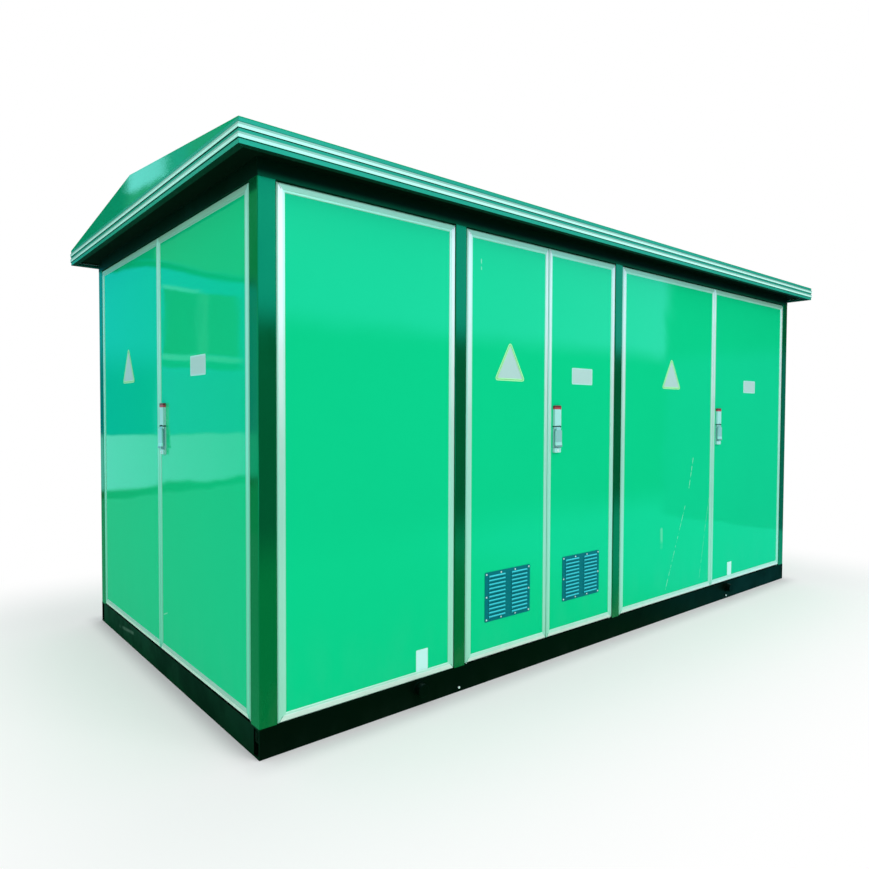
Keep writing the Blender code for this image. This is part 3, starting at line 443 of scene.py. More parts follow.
def painted(name, base, smooth, dull, specular, drift=0.05, peel=260.0, bump=0.04, dust=None, runs=0.0,
            metallic=0.0, tint=(1.0, 1.0, 1.0), ior=1.5, wave=0.0, change=None):
    """Painted or plated sheet: uneven coat, dust near the ground and rain runs."""
    material = bpy.data.materials.new(name)
    build = cleared(material)
    shader = build.add("ShaderNodeBsdfPrincipled")
    build.add("ShaderNodeOutputMaterial", {"Surface": shader.outputs["BSDF"]})
    position = build.place()
    coat = build.group("coat", {"Position": position, "Drift": drift, "Peel Size": peel, "Wave": wave,
                                "Smooth Roughness": smooth, "Dull Roughness": dull}, output=None)
    shade = build.add("ShaderNodeCombineColor")
    for channel in ("Red", "Green", "Blue"):
        build.put(shade.inputs[channel], coat["Tone"])
    surface = build.mix(1.0, base, shade.outputs[0], "MULTIPLY")
    rough = coat["Roughness"]
    if change:
        surface, rough = change(build, bpy.context.scene.substation_colours, position, surface, rough)
    if runs:
        mask = build.group("runs", {"Position": position, "Amount": runs})
        surface = build.mix(mask, surface, build.mix(0.5, surface, RAIN_FILM))
    if dust:
        low, high, amount, tone = dust
        mask = build.group("dust", {"Position": position, "Full Below": low, "None Above": high,
                                    "Amount": amount})
        surface = build.mix(mask, surface, tone)
        rough = build.plus(rough, build.times(mask, 0.4), clamp=True)
    relief = build.add("ShaderNodeBump",
                       {"Strength": bump, "Distance": COAT_DEPTH, "Height": coat["Height"]})
    for socket, value in (("Base Color", surface), ("Roughness", rough), ("Metallic", metallic),
                          ("Normal", relief.outputs["Normal"]), ("Specular IOR Level", specular),
                          ("Specular Tint", tint), ("IOR", ior)):
        build.put(shader.inputs[socket], value)
    materials[name] = material


# Scratches and smudges on the outer faces, as places over the ground along the front: start,
# end, half width and strength. The last one is on the left end and runs along Y.
FRONT_MARKS = (
    ((0.914, 1.093), (0.863, 0.882), 0.0042, 0.75),
    ((0.815, 0.760), (0.573, 0.202), 0.0036, 0.60),
    ((1.146, 0.789), (1.097, 0.579), 0.0036, 0.45),
    ((1.097, 0.579), (1.021, 0.212), 0.0030, 0.35),
    ((0.515, 0.620), (0.518, 0.503), 0.0200, 0.26),
    ((-1.189, 2.188), (-1.188, 2.137), 0.0045, 0.60),
)
END_MARK = ((-0.04, 0.326), (-0.10, 0.346), 0.0050, 0.55)
SCRATCH_TONE = (0.42, 0.80, 0.62)
SCRATCH_BREAKS = 0.12
RAIN_FILM = (0.30, 0.42, 0.36)
COAT_DEPTH = 0.0004

# Bands of an eave board, as heights over its foot: start, end, colour and share of that colour.
# A share below one is painted shade: the upper half of each rib, and a thin line just above the upper rib.
RIB_BANDS = (
    (0.0215, 0.0425, "rib", 0.55),
    (0.0215, 0.0325, "rib", 1.0),
    (0.0565, 0.0770, "rib", 0.55),
    (0.0565, 0.0670, "rib", 1.0),
    (0.0775, 0.0800, "eave", 0.45),
)

# Places on the solids: louvre hoods over the plate's foot, and the steps of a lock body.
FIRST_HOOD = 0.0178
HOOD_PITCH = 0.0212
CAP_HEIGHT = 0.0215
GROOVE_TOP = 0.1165
GROOVE_FOOT = 0.1230
POCKET_TOP = 0.113
POCKET_FOOT = 0.0245
POCKET_FLOOR = (0.0082, 0.0101)
# Painted shade in the groove over the lever and on the floor of the pocket behind it.
GROOVE_SHADE = (0.003, 0.040, 0.030)
POCKET_SHADE = (0.004, 0.060, 0.045)
LEVER_TIP_TONE = (0.46, 0.93, 0.86)

# The window of the yard on its card: height from and to, X from and to, and colour. Left pane,
# right pane, bar between them, head, sill and the shadow under the sill.
WINDOW = (
    (2.05, 2.75, -4.050, -3.68, (0.02, 0.32, 0.13)),
    (2.06, 2.76, -4.540, -4.17, (0.03, 0.37, 0.16)),
    (2.05, 2.75, -4.170, -4.050, (0.10, 0.54, 0.30)),
    (2.75, 2.79, -4.050, -3.66, (0.22, 0.98, 0.90)),
    (1.985, 2.05, -4.550, -3.66, (0.20, 0.90, 0.72)),
    (1.90, 1.985, -4.550, -3.66, (0.01, 0.42, 0.26)),
)


def scratched(build, colours, position, surface, rough):
    """Adds the pale scratches to the boards' green."""
    face_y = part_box("front_bay_3_left_leaf_board")[0].y
    face_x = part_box("left_end_left_leaf_board")[0].x
    marks = [((sx, face_y, sz), (ex, face_y, ez), width, strength)
             for (sx, sz), (ex, ez), width, strength in FRONT_MARKS]
    (sy, sz), (ey, ez), width, strength = END_MARK
    marks.append(((face_x, sy, sz), (face_x, ey, ez), width, strength))
    for start, end, width, strength in marks:
        mask = build.group("scratch", {"Position": position, "Start": start, "End": end, "Width": width,
                                       "Strength": strength, "Breaks": SCRATCH_BREAKS / width})
        surface = build.mix(mask, surface, SCRATCH_TONE)
        rough = build.plus(rough, build.times(mask, 0.3), clamp=True)
    return surface, rough


def ribbed(build, colours, position, surface, rough):
    """Leaves an eave board's two ribs pale with painted shade on their upper halves, and paints shade on a
    line above them and on the board's underside.
    """
    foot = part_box("eave_front")[0].z
    height = build.parts(position)["Z"]
    for start, end, tone, share in RIB_BANDS:
        mask = build.between(height, foot + start, foot + end, 0.0010)
        surface = build.mix(mask, surface, getattr(colours, tone) * share)
    facing = build.parts(build.add("ShaderNodeNewGeometry").outputs["Normal"])["Z"]
    # Painted shade: the faces that look down get twice the ceiling's dark green.
    under = build.step(facing, -0.9, -0.6, 1.0, 0.0)
    rough = build.plus(rough, build.times(under, 0.4), clamp=True)
    return build.mix(under, surface, colours.soffit * 2.0), rough


def hooded(build, colours, position, surface, rough):
    """Puts a painted highlight on the upper bulge and the cheeks of the louvre hoods, lighter than the flat
    sheet.
    """
    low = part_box("front_bay_2_left_leaf_louvre")[0]
    parts = build.parts(position)
    proud = build.step(parts["Y"], low.y + 0.0045, low.y + 0.0075, 1.0, 0.0)
    rise = build.math("MODULO", build.minus(parts["Z"], low.z + FIRST_HOOD), HOOD_PITCH)
    facing = build.parts(build.add("ShaderNodeNewGeometry").outputs["True Normal"])["X"]
    # Painted highlight on the hood's upper bulge and on its cheeks.
    lit = build.math("MAXIMUM", build.step(rise, 0.0045, 0.0075),
                     build.step(build.math("ABSOLUTE", facing), 0.7, 0.9))
    return build.mix(build.times(proud, lit), surface, colours.hood_highlight), rough


def capped(build, colours, position, surface, rough):
    """Paints a lock body red at the top and grey beside the lever, with painted shade in its groove and
    pocket.
    """
    low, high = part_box("front_bay_2_right_leaf_lock_body")
    parts = build.parts(position)
    cap = build.mix(build.step(parts["Z"], high.z - 0.014, high.z - 0.008), colours.cap, colours.cap * 0.35)
    surface = build.mix(build.step(parts["Z"], high.z - CAP_HEIGHT - 0.0004, high.z - CAP_HEIGHT + 0.0004),
                        surface, cap)
    pocket_foot, groove_foot, groove_top = low.z + POCKET_FOOT, high.z - GROOVE_FOOT, high.z - GROOVE_TOP
    for start, end, shade in ((pocket_foot, groove_foot, colours.lever),
                              (groove_foot, groove_top, GROOVE_SHADE)):
        surface = build.mix(build.between(parts["Z"], start, end, 0.0004), surface, shade)
    # Painted shade on the floor of the pocket behind the lever.
    end_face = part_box("left_end_right_leaf_lock_body")[0].x
    depth = build.math("MINIMUM", build.minus(parts["Y"], low.y), build.minus(parts["X"], end_face))
    inside = build.between(parts["Z"], pocket_foot, high.z - POCKET_TOP, 0.0005)
    floor = build.between(depth, *POCKET_FLOOR, 0.0005)
    return build.mix(build.times(floor, inside), surface, POCKET_SHADE), rough


def gripped(build, colours, position, surface, rough):
    """Paints the lower end of a lever lighter, with painted shade along its bottom edge."""
    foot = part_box("front_bay_2_right_leaf_lever")[0].z
    height = build.parts(position)["Z"]
    # Painted shade: the bottom edge of the lever is a darker copy of its grey.
    tip_tones = build.mix(build.step(height, foot + 0.009, foot + 0.011), colours.lever * 0.6, LEVER_TIP_TONE)
    return build.mix(build.step(height, foot + 0.026, foot + 0.030, 1.0, 0.0), surface, tip_tones), rough


def bar_tones(build, colours, position, surface, rough):
    """Paints a reflection that lightens the bars higher up, shade on the left end's bars and on the head
    bars, highlights on the sill bars, chamfers and beads, and dark pivot pins.
    """
    low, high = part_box("front_bay_1_frame")
    parts = build.parts(position)
    height = parts["Z"]
    # Painted reflection: the bars grow lighter higher up.
    surface = build.mix(build.step(height, 0.95, 1.85), surface, colours.upper_bars_reflection)
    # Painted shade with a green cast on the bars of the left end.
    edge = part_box("left_end_left_leaf_frame")[1].x
    at_left = build.step(parts["X"], edge, edge + 0.001, 1.0, 0.0)
    surface = build.mix(at_left, surface, colours.left_bars_shade, "MULTIPLY")
    bars = build.group("bars", {"Position": position}, output=None)
    # Painted highlight on the sill bars and painted shade on the head bars.
    level = build.mix(build.step(height, low.z + 0.1, low.z + 0.2), colours.sill_bars_highlight, colours.head_bars)
    surface = build.mix(bars["Level"], surface, level)
    # Painted highlights on the chamfers and beads, with painted shade on those of the left end.
    edges = build.math("MAXIMUM", build.step(bars["Way In"], 0.13, 0.17, 0.6, 0.0),
                       build.step(bars["Way In"], 0.66, 0.72, 0.0, 0.6))
    rims = build.mix(at_left, colours.bar_edge_highlight, colours.bar_edge_highlight * 0.6)
    surface = build.mix(edges, surface, rims)
    pins = build.math("MAXIMUM", build.step(height, high.z + 0.0002, high.z + 0.0006),
                      build.step(height, low.z - 0.0006, low.z - 0.0002, 1.0, 0.0))
    return build.mix(pins, surface, colours.pivots), rough


def shaded_above(build, colours, position, surface, rough):
    """Paints shade on the ring beam towards the ceiling, where the eave keeps it out of the light, and over
    its face at the left end.
    """
    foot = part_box("corner_post_front_left")[1].z
    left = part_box("top_ring_beam")[0].x
    parts = build.parts(position)
    shade = build.math("MAXIMUM", build.step(parts["Z"], foot, foot + 0.030),
                       build.step(parts["X"], left + 0.001, left + 0.003, 1.0, 0.0))
    return build.mix(shade, surface, colours.soffit), rough


def smudged(build, colours, position, surface, rough):
    """Leaves a light smudge on the channel of the left end."""
    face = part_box("base_frame")[0].x
    mask = build.group("scratch", {"Position": position, "Start": (face, 0.78, 0.063),
                                   "End": (face, 0.50, 0.088), "Width": 0.014, "Breaks": 9.0,
                                   "Strength": 0.35})
    return build.mix(mask, surface, (0.16, 0.26, 0.21)), rough


def make_materials():
    """All finishes of the housing and of the added pieces."""
    colours = bpy.context.scene.substation_colours
    for name, maker in GROUP_MAKERS.items():
        groups[name] = maker()
    green = (0.05, 1.0, 0.80)
    pale_dust = (0.30, 0.33, 0.28)
    painted("board green", colours.board, 0.02, 0.05, 0.6, drift=0.05, bump=0.08, ior=1.55,
            dust=(0.17, 0.75, 0.06, (0.10, 0.56, 0.36)), tint=(0.3, 1.0, 1.0), wave=68.0, change=scratched)
    painted("post green", colours.post, 0.08, 0.16, 1.0, dust=(0.13, 0.4, 0.08, pale_dust),
            tint=(0.02, 0.90, 0.42), ior=1.95)
    painted("base green black", colours.base, 0.38, 0.6, 0.06, peel=120.0, bump=0.15,
            dust=(0.0, 0.14, 0.08, (0.03, 0.05, 0.03)), tint=green, change=smudged)
    painted("beam green", colours.beam, 0.35, 0.5, 0.2, tint=green, change=shaded_above)
    painted("soffit green", colours.soffit, 0.75, 0.9, 0.05, drift=0.4)
    painted("roof green", colours.roof, 0.02, 0.04, 0.5, drift=0.08, bump=0.10, runs=0.10,
            tint=green, wave=14.0)
    painted("eave green", colours.eave, 0.29, 0.40, 0.4, runs=0.10, change=ribbed, tint=green)
    painted("satin aluminium", colours.aluminium, 0.29, 0.40, 0.4, metallic=0.3, peel=60.0,
            dust=(0.13, 0.4, 0.10, pale_dust), change=bar_tones)
    painted("louvre teal", colours.louvre, 0.30, 0.45, 0.2, change=hooded, tint=green)
    painted("lock enamel", colours.lock, 0.29, 0.38, 0.5, change=capped)
    painted("lever grey", colours.lever, 0.29, 0.40, 0.5, metallic=0.3, change=gripped)
    painted("floor grey", colours.floor, 0.45, 0.7, 0.4, bump=0.2, drift=0.2)
    painted("plate pale", colours.plate, 0.29, 0.42, 0.4)
    painted("plate border", colours.border, 0.29, 0.42, 0.4)
    painted("plate rim", colours.rim, 0.29, 0.42, 0.4)
    painted("label white", colours.label, 0.45, 0.6, 0.3, drift=0.1)
    painted("bright zinc", colours.zinc, 0.29, 0.42, 0.5, metallic=0.2)
    painted("seam shadow", (0.05, 0.09, 0.07), 0.6, 0.8, 0.2)


NODE_FINISHES = (
    ("_board", "board green"),
    ("_louvre", "louvre teal"),
    ("_lock_body", "lock enamel"),
    ("_lever", "lever grey"),
    ("base_frame", "base green black"),
    ("_frame", "satin aluminium"),
    ("floor_tray", "floor grey"),
    ("ceiling_sheet", "soffit green"),
    ("top_ring_beam", "beam green"),
)
NAME_STARTS = (
    ("corner_post", "post green"),
    ("front_post", "post green"),
    ("back_post", "post green"),
    ("eave", "eave green"),
    ("roof_slope", "roof green"),
    ("gable", "roof green"),
)


def finish_of(node):
    """The finish of a CAD node, by its name."""
    for ending, finish in NODE_FINISHES:
        if node.endswith(ending):
            return finish
    for start, finish in NAME_STARTS:
        if node.startswith(start):
            return finish
    raise RuntimeError(f"no finish for {node}")


def on_wall(node, wall):
    """Lowest and highest corner of a CAD node as its wall is seen from outside."""
    back = FACING[wall].inverted()
    corners = [back @ Vector(corner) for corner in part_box(node)]
    low = Vector(min(a, b) for a, b in zip(*corners))
    high = Vector(max(a, b) for a, b in zip(*corners))
    return low, high


def deselect():
    if bpy.context.mode != "OBJECT":
        bpy.ops.object.mode_set(mode="OBJECT")
    bpy.ops.object.select_all(action="DESELECT")


def activate(piece):
    deselect()
    piece.select_set(True)
    bpy.context.view_layer.objects.active = piece


def apply_scale(piece):
    activate(piece)
    bpy.ops.object.transform_apply(location=False, rotation=True, scale=True)


def block(centre, size):
    """A box of a given size, active and selected."""
    deselect()
    bpy.ops.mesh.primitive_cube_add(size=1.0, location=centre)
    piece = bpy.context.object
    piece.scale = size
    apply_scale(piece)
    return piece


def disc(centre, radius, depth, sides=24):
    """A round or many-sided disc that faces out of the wall."""
    deselect()
    bpy.ops.mesh.primitive_cylinder_add(vertices=sides, radius=radius, depth=depth, location=centre,
                                        rotation=UPRIGHT)
    piece = bpy.context.object
    apply_scale(piece)
    return piece


def choose(piece, kind, test):
    """Edit mode with only the faces or edges that pass a test selected."""
    activate(piece)
    bpy.ops.object.mode_set(mode="EDIT")
    bpy.ops.mesh.select_mode(type=kind)
    bpy.ops.mesh.select_all(action="DESELECT")
    bpy.ops.object.mode_set(mode="OBJECT")
    for element in (piece.data.polygons if kind == "FACE" else piece.data.edges):
        element.select = test(element)
    bpy.ops.object.mode_set(mode="EDIT")


def edit_all(piece, operator, **settings):
    """Runs one edit-mode operator on the whole mesh."""
    activate(piece)
    bpy.ops.object.mode_set(mode="EDIT")
    bpy.ops.mesh.select_all(action="SELECT")
    operator(**settings)
    bpy.ops.object.mode_set(mode="OBJECT")


def bevel(piece, test, width, segments):
    """Bevels the edges that pass a test of their two ends."""
    points = piece.data.vertices
    choose(piece, "EDGE", lambda edge: test(*(points[index].co for index in edge.vertices)))
    bpy.ops.mesh.bevel(offset=width, segments=segments, affect="EDGES")
    bpy.ops.object.mode_set(mode="OBJECT")


def round_corners(piece, radius, segments=5):
    """Rounds the edges that run into the wall."""
    bevel(piece, lambda first, second: abs((second - first).y) > 0.99 * (second - first).length,
          radius, segments)


def soften(piece, width, segments=2):
    """Rounds the rim of the outer face."""
    front = min(point.co.y for point in piece.data.vertices)
    bevel(piece, lambda first, second: max(first.y, second.y) < front + LIFT / 2, width, segments)


def paint(piece, *finishes):
    for finish in finishes:
        piece.data.materials.append(materials[finish])


def mount(piece, wall, name, body, slot, *finishes):
    """Turns a finished piece to its wall, settles it at the origin and hangs it on its body."""
    paint(piece, *finishes)
    piece.matrix_world = FACING[wall] @ piece.matrix_world
    piece.name = name
    piece.data.name = name
    activate(piece)
    bpy.ops.object.transform_apply(location=True, rotation=True, scale=True)
    bpy.ops.object.shade_smooth_by_angle(angle=math.radians(35))
    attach(piece, body)


def joined(pieces):
    """Several pieces made one, which stays active."""
    activate(pieces[0])
    for piece in pieces:
        piece.select_set(True)
    bpy.ops.object.join()
    return bpy.context.object


def copy_to(piece, centre):
    """A copy with its own mesh at another place."""
    twin = piece.copy()
    twin.data = piece.data.copy()
    twin.location = centre
    bpy.context.scene.collection.objects.link(twin)
    return twin


def band_inside(piece, width, sink, slot):
    """Insets the widest outer face, sinks or lifts what is inside and gives it a material slot."""
    outer = [face for face in piece.data.polygons if face.normal.y < -0.99]
    widest = max(outer, key=lambda face: face.area).index
    choose(piece, "FACE", lambda face: face.index == widest)
    bpy.ops.mesh.inset(thickness=width, depth=sink)
    piece.active_material_index = slot
    bpy.ops.object.material_slot_assign()
    bpy.ops.object.mode_set(mode="OBJECT")


def band_plate(piece, depth, bands, *finishes):
    """Paints a plate or label and bands its outer face."""
    paint(piece, *finishes)
    for width, sink, slot in bands:
        band_inside(piece, width, -depth * sink, slot)


def board_spots(leaves, depth, rise):
    """Places for one plate on the middle of each leaf's board, at a height over the ground."""
    spots = []
    for leaf, wall in leaves.items():
        low, high = on_wall(f"{leaf}_board", wall)
        spots.append(Vector(((low.x + high.x) / 2, low.y - LIFT - depth / 2, rise)))
    return spots


def copies(piece, spots):
    """The piece, which stands at the first spot, and a copy of it for each other spot."""
    return [piece] + [copy_to(piece, spot) for spot in spots[1:]]


def mount_copies(piece, leaves, spots, ending, slot):
    """Mounts a finished piece on the first leaf and a copy of it on each of the others."""
    for twin, (leaf, wall) in zip(copies(piece, spots), leaves.items()):
        mount(twin, wall, f"{leaf}_{ending}", leaf, slot)


class FinishSolids(bpy.types.Operator):
    """Give every CAD solid its paint or metal"""
    bl_idname = "substation.finish_solids"
    bl_label = "Finish the solids"

    def execute(self, context):
        make_materials()
        for name, node in frame["nodes"].items():
            for slot in node.material_slots:
                slot.material = materials[finish_of(name)]
        return {"FINISHED"}


class AddTrianglePlates(bpy.types.Operator):
    """Add the three triangular plates, one on the left leaf of each pair"""
    bl_idname = "substation.add_triangle_plates"
    bl_label = "Add the triangular plates"

    def execute(self, context):
        plates = context.scene.substation_plates
        depth = plates.thickness
        rise = plates.triangle_rise + plates.triangle_height / 3
        spots = board_spots(LEFT_LEAVES, depth, rise)
        deselect()
        bpy.ops.mesh.primitive_cylinder_add(vertices=3, radius=1.0, depth=depth, rotation=UPRIGHT,
                                            location=spots[0])
        piece = bpy.context.object
        apply_scale(piece)
        piece.scale = (plates.triangle_width / math.sqrt(3), 1.0, plates.triangle_height / 1.5)
        apply_scale(piece)
        round_corners(piece, plates.triangle_corner)
        soften(piece, depth / 3, 1)
        band_plate(piece, depth, TRIANGLE_BANDS, "plate border", "plate rim", "plate pale")
        mount_copies(piece, LEFT_LEAVES, spots, "triangle_plate", "lock_body")
        return {"FINISHED"}


class AddFlatPlates(bpy.types.Operator):
    """Add the three rectangular plates, one on the right leaf of each pair"""
    bl_idname = "substation.add_flat_plates"
    bl_label = "Add the rectangular plates"

    def execute(self, context):
        plates = context.scene.substation_plates
        depth = plates.thickness
        spots = board_spots(RIGHT_LEAVES, depth, plates.plate_rise)
        piece = block(spots[0], (plates.plate_width, depth, plates.plate_height))
        round_corners(piece, plates.plate_corner, 3)
        soften(piece, depth / 3, 1)
        band_plate(piece, depth, PLATE_BANDS, "label white", "plate pale", "lever grey")
        mount_copies(piece, RIGHT_LEAVES, spots, "flat_plate", "lock_body")
        return {"FINISHED"}


class AddLabels(bpy.types.Operator):
    """Add the two small bare labels near the bottom of the front"""
    bl_idname = "substation.add_labels"
    bl_label = "Add the labels"

    def execute(self, context):
        plates = context.scene.substation_plates
        depth = plates.thickness / 2
        for bay, body, at_right, inset, width, height in (
                ("front_bay_1", "housing", True, plates.label_inset, plates.label_width,
                 plates.label_height),
                ("front_bay_3_right_leaf", "front_bay_3_right_leaf", False,
                 plates.leaf_label_inset, plates.leaf_label_width, plates.leaf_label_height)):
            low, high = on_wall(f"{bay}_board", "front")
            middle = high.x - inset - width / 2 if at_right else low.x + inset + width / 2
            piece = block((middle, low.y - LIFT - depth / 2, low.z + LIFT + height / 2),
                          (width, depth, height))
            round_corners(piece, 0.004, 3)
            band_plate(piece, depth, LABEL_BANDS, "label white", "plate pale")
            mount(piece, "front", f"{bay}_label", body, "lock_body")
        return {"FINISHED"}


def screw_head(centre, radius, head):
    """A pan head with a cross recess, facing out of the wall."""
    piece = disc(centre, radius, head, 20)
    soften(piece, head * 0.6, 3)
    for size in ((radius * 1.2, head, radius * 0.26), (radius * 0.26, head, radius * 1.2)):
        cutter = block(centre - Vector((0.0, head * 0.65, 0.0)), size)
        cut = piece.modifiers.new("recess", "BOOLEAN")
        cut.operation = "DIFFERENCE"
        cut.solver = "EXACT"
        cut.object = cutter
        activate(piece)
        bpy.ops.object.modifier_apply(modifier=cut.name)
        bpy.data.objects.remove(cutter, do_unlink=True)
    return piece


class AddLouvreScrews(bpy.types.Operator):
    """Add the screws that hold the two louvre plates"""
    bl_idname = "substation.add_louvre_screws"
    bl_label = "Add the louvre screws"

    def execute(self, context):
        fixings = context.scene.substation_fixings
        inset, head, count = fixings.screw_inset, fixings.screw_head, fixings.screws_across
        for leaf in ("front_bay_2_left_leaf", "front_bay_2_right_leaf"):
            low, high = on_wall(f"{leaf}_louvre", "front")
            face = on_wall(f"{leaf}_board", "front")[0].y - LOUVRE_SHEET
            places = []
            for number in range(count):
                across = low.x + inset + (high.x - low.x - 2 * inset) * number / (count - 1)
                places += [(across, low.z + inset), (across, high.z - inset)]
            places += [(low.x + inset, (low.z + high.z) / 2), (high.x - inset, (low.z + high.z) / 2)]
            spots = [Vector((x, face - head / 2, z)) for x, z in places]
            screws = copies(screw_head(spots[0], fixings.screw_radius, head), spots)
            mount(joined(screws), "front", f"{leaf}_louvre_screws", leaf, "edge_aluminium", "bright zinc")
        return {"FINISHED"}


class AddLockTrim(bpy.types.Operator):
    """Add the key barrel below the lever of each lock"""
    bl_idname = "substation.add_lock_trim"
    bl_label = "Add the lock trim"

    def execute(self, context):
        spots = []
        for leaf, wall in RIGHT_LEAVES.items():
            low, high = on_wall(f"{leaf}_lock_body", wall)
            spots.append(Vector(((low.x + high.x) / 2, low.y - BARREL_DEPTH / 2, low.z + BARREL_RISE)))
        piece = disc(spots[0], BARREL_RADIUS, BARREL_DEPTH, 28)
        soften(piece, 0.0005, 2)
        paint(piece, "bright zinc", "seam shadow")
        band_inside(piece, 0.0022, -0.0005, 0)
        # Painted shade: the key slot is a dark piece that stands for the shade inside the keyway.
        slot = block(spots[0] - Vector((0.0, 0.0002, 0.0)), (0.0014, 0.0008, 0.0055))
        paint(slot, "bright zinc", "seam shadow")
        for face in slot.data.polygons:
            face.material_index = 1
        mount_copies(joined([piece, slot]), RIGHT_LEAVES, spots, "key_barrel", "lever_grey")
        return {"FINISHED"}


class AddFrameSeams(bpy.types.Operator):
    """Add the mitre lines at the corners of every edge frame"""
    bl_idname = "substation.add_frame_seams"
    bl_label = "Add the mitre lines"

    def execute(self, context):
        width = context.scene.substation_fixings.seam_width
        for bay, wall in {**LEAVES, **FIXED_BAYS}.items():
            low, high = on_wall(f"{bay}_frame", wall)
            board_low, board_high = on_wall(f"{bay}_board", wall)
            if bay in LEAVES:
                low.z, high.z = board_low.z - BAR_WIDTH, board_high.z + BAR_WIDTH
            strips = []
            for edge, rim, way in ((low.x, board_low.x, 1), (high.x, board_high.x, -1)):
                run = abs(rim - edge) - SEAM_SHORT
                for level, climb in ((low.z, 1), (high.z, -1)):
                    start = Vector((edge + way * SEAM_START, low.y, level + climb * SEAM_START))
                    finish = Vector((edge + way * run, low.y, level + climb * SEAM_CLIMB))
                    strips.append(self.strip(start, finish, width))
            mount(joined(strips), wall, f"{bay}_mitre_lines", bay if bay in LEAVES else "housing",
                  "edge_aluminium", "seam shadow")
        return {"FINISHED"}

    def strip(self, start, finish, width):
        """A flat line on the face of a frame between two points."""
        step = finish - start
        piece = block((start + finish) / 2 - Vector((0.0, LIFT / 2, 0.0)), (step.length, LIFT, width))
        edit_all(piece, bpy.ops.mesh.bevel, offset=LIFT / 4, segments=1, affect="EDGES")
        piece.rotation_euler = (0.0, -math.atan2(step.z, step.x), 0.0)
        apply_scale(piece)
        return piece


class AddStubWelds(bpy.types.Operator):
    """Add the weld beads round the lifting stubs of the base"""
    bl_idname = "substation.add_stub_welds"
    bl_label = "Add the stub welds"

    def execute(self, context):
        low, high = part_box("base_frame")
        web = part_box("top_ring_beam")[0].y
        stubs = (low.x + STUB_LEFT, high.x - STUB_RIGHT)
        deselect()
        bpy.ops.mesh.primitive_torus_add(
            location=(stubs[0], web, STUB_HEIGHT), rotation=UPRIGHT, major_segments=40,
            minor_segments=10, major_radius=STUB_RADIUS,
            minor_radius=context.scene.substation_fixings.weld_width)
        bead = bpy.context.object
        apply_scale(bead)
        edit_all(bead, bpy.ops.mesh.bisect, plane_co=(stubs[0], web + 0.001, 0.0),
                 plane_no=(0.0, 1.0, 0.0), use_fill=False, clear_outer=True)
        for wall, places in (("front", stubs), ("back", tuple(-place for place in stubs))):
            beads = [copy_to(bead, (place, web, STUB_HEIGHT)) for place in places]
            mount(joined(beads), wall, f"{wall}_stub_welds", "housing", "base_paint", "base green black")
        bpy.data.objects.remove(bead, do_unlink=True)
        return {"FINISHED"}


class AddEarthBolts(bpy.types.Operator):
    """Add the two earth bolts of the base with their washers"""
    bl_idname = "substation.add_earth_bolts"
    bl_label = "Add the earth bolts"

    def execute(self, context):
        fixings = context.scene.substation_fixings
        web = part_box("top_ring_beam")[0].y
        face = web - fixings.bolt_head / 2 - WASHER
        spots = [Vector((place, face, BOLT_RISE)) for place in EARTH_BOLTS]
        behind = [spot + Vector((0.0, (fixings.bolt_head + WASHER) / 2, 0.0)) for spot in spots]
        washer = disc(behind[0], fixings.bolt_radius * 1.25, WASHER, 28)
        soften(washer, 0.0006)
        head = disc(spots[0], fixings.bolt_radius, fixings.bolt_head, 6)
        soften(head, 0.0012)
        mount(joined(copies(head, spots)), "front", "earth_bolts", "housing", "edge_aluminium",
              "bright zinc")
        mount(joined(copies(washer, behind)), "front", "earth_washers", "housing", "base_paint",
              "base green black")
        return {"FINISHED"}


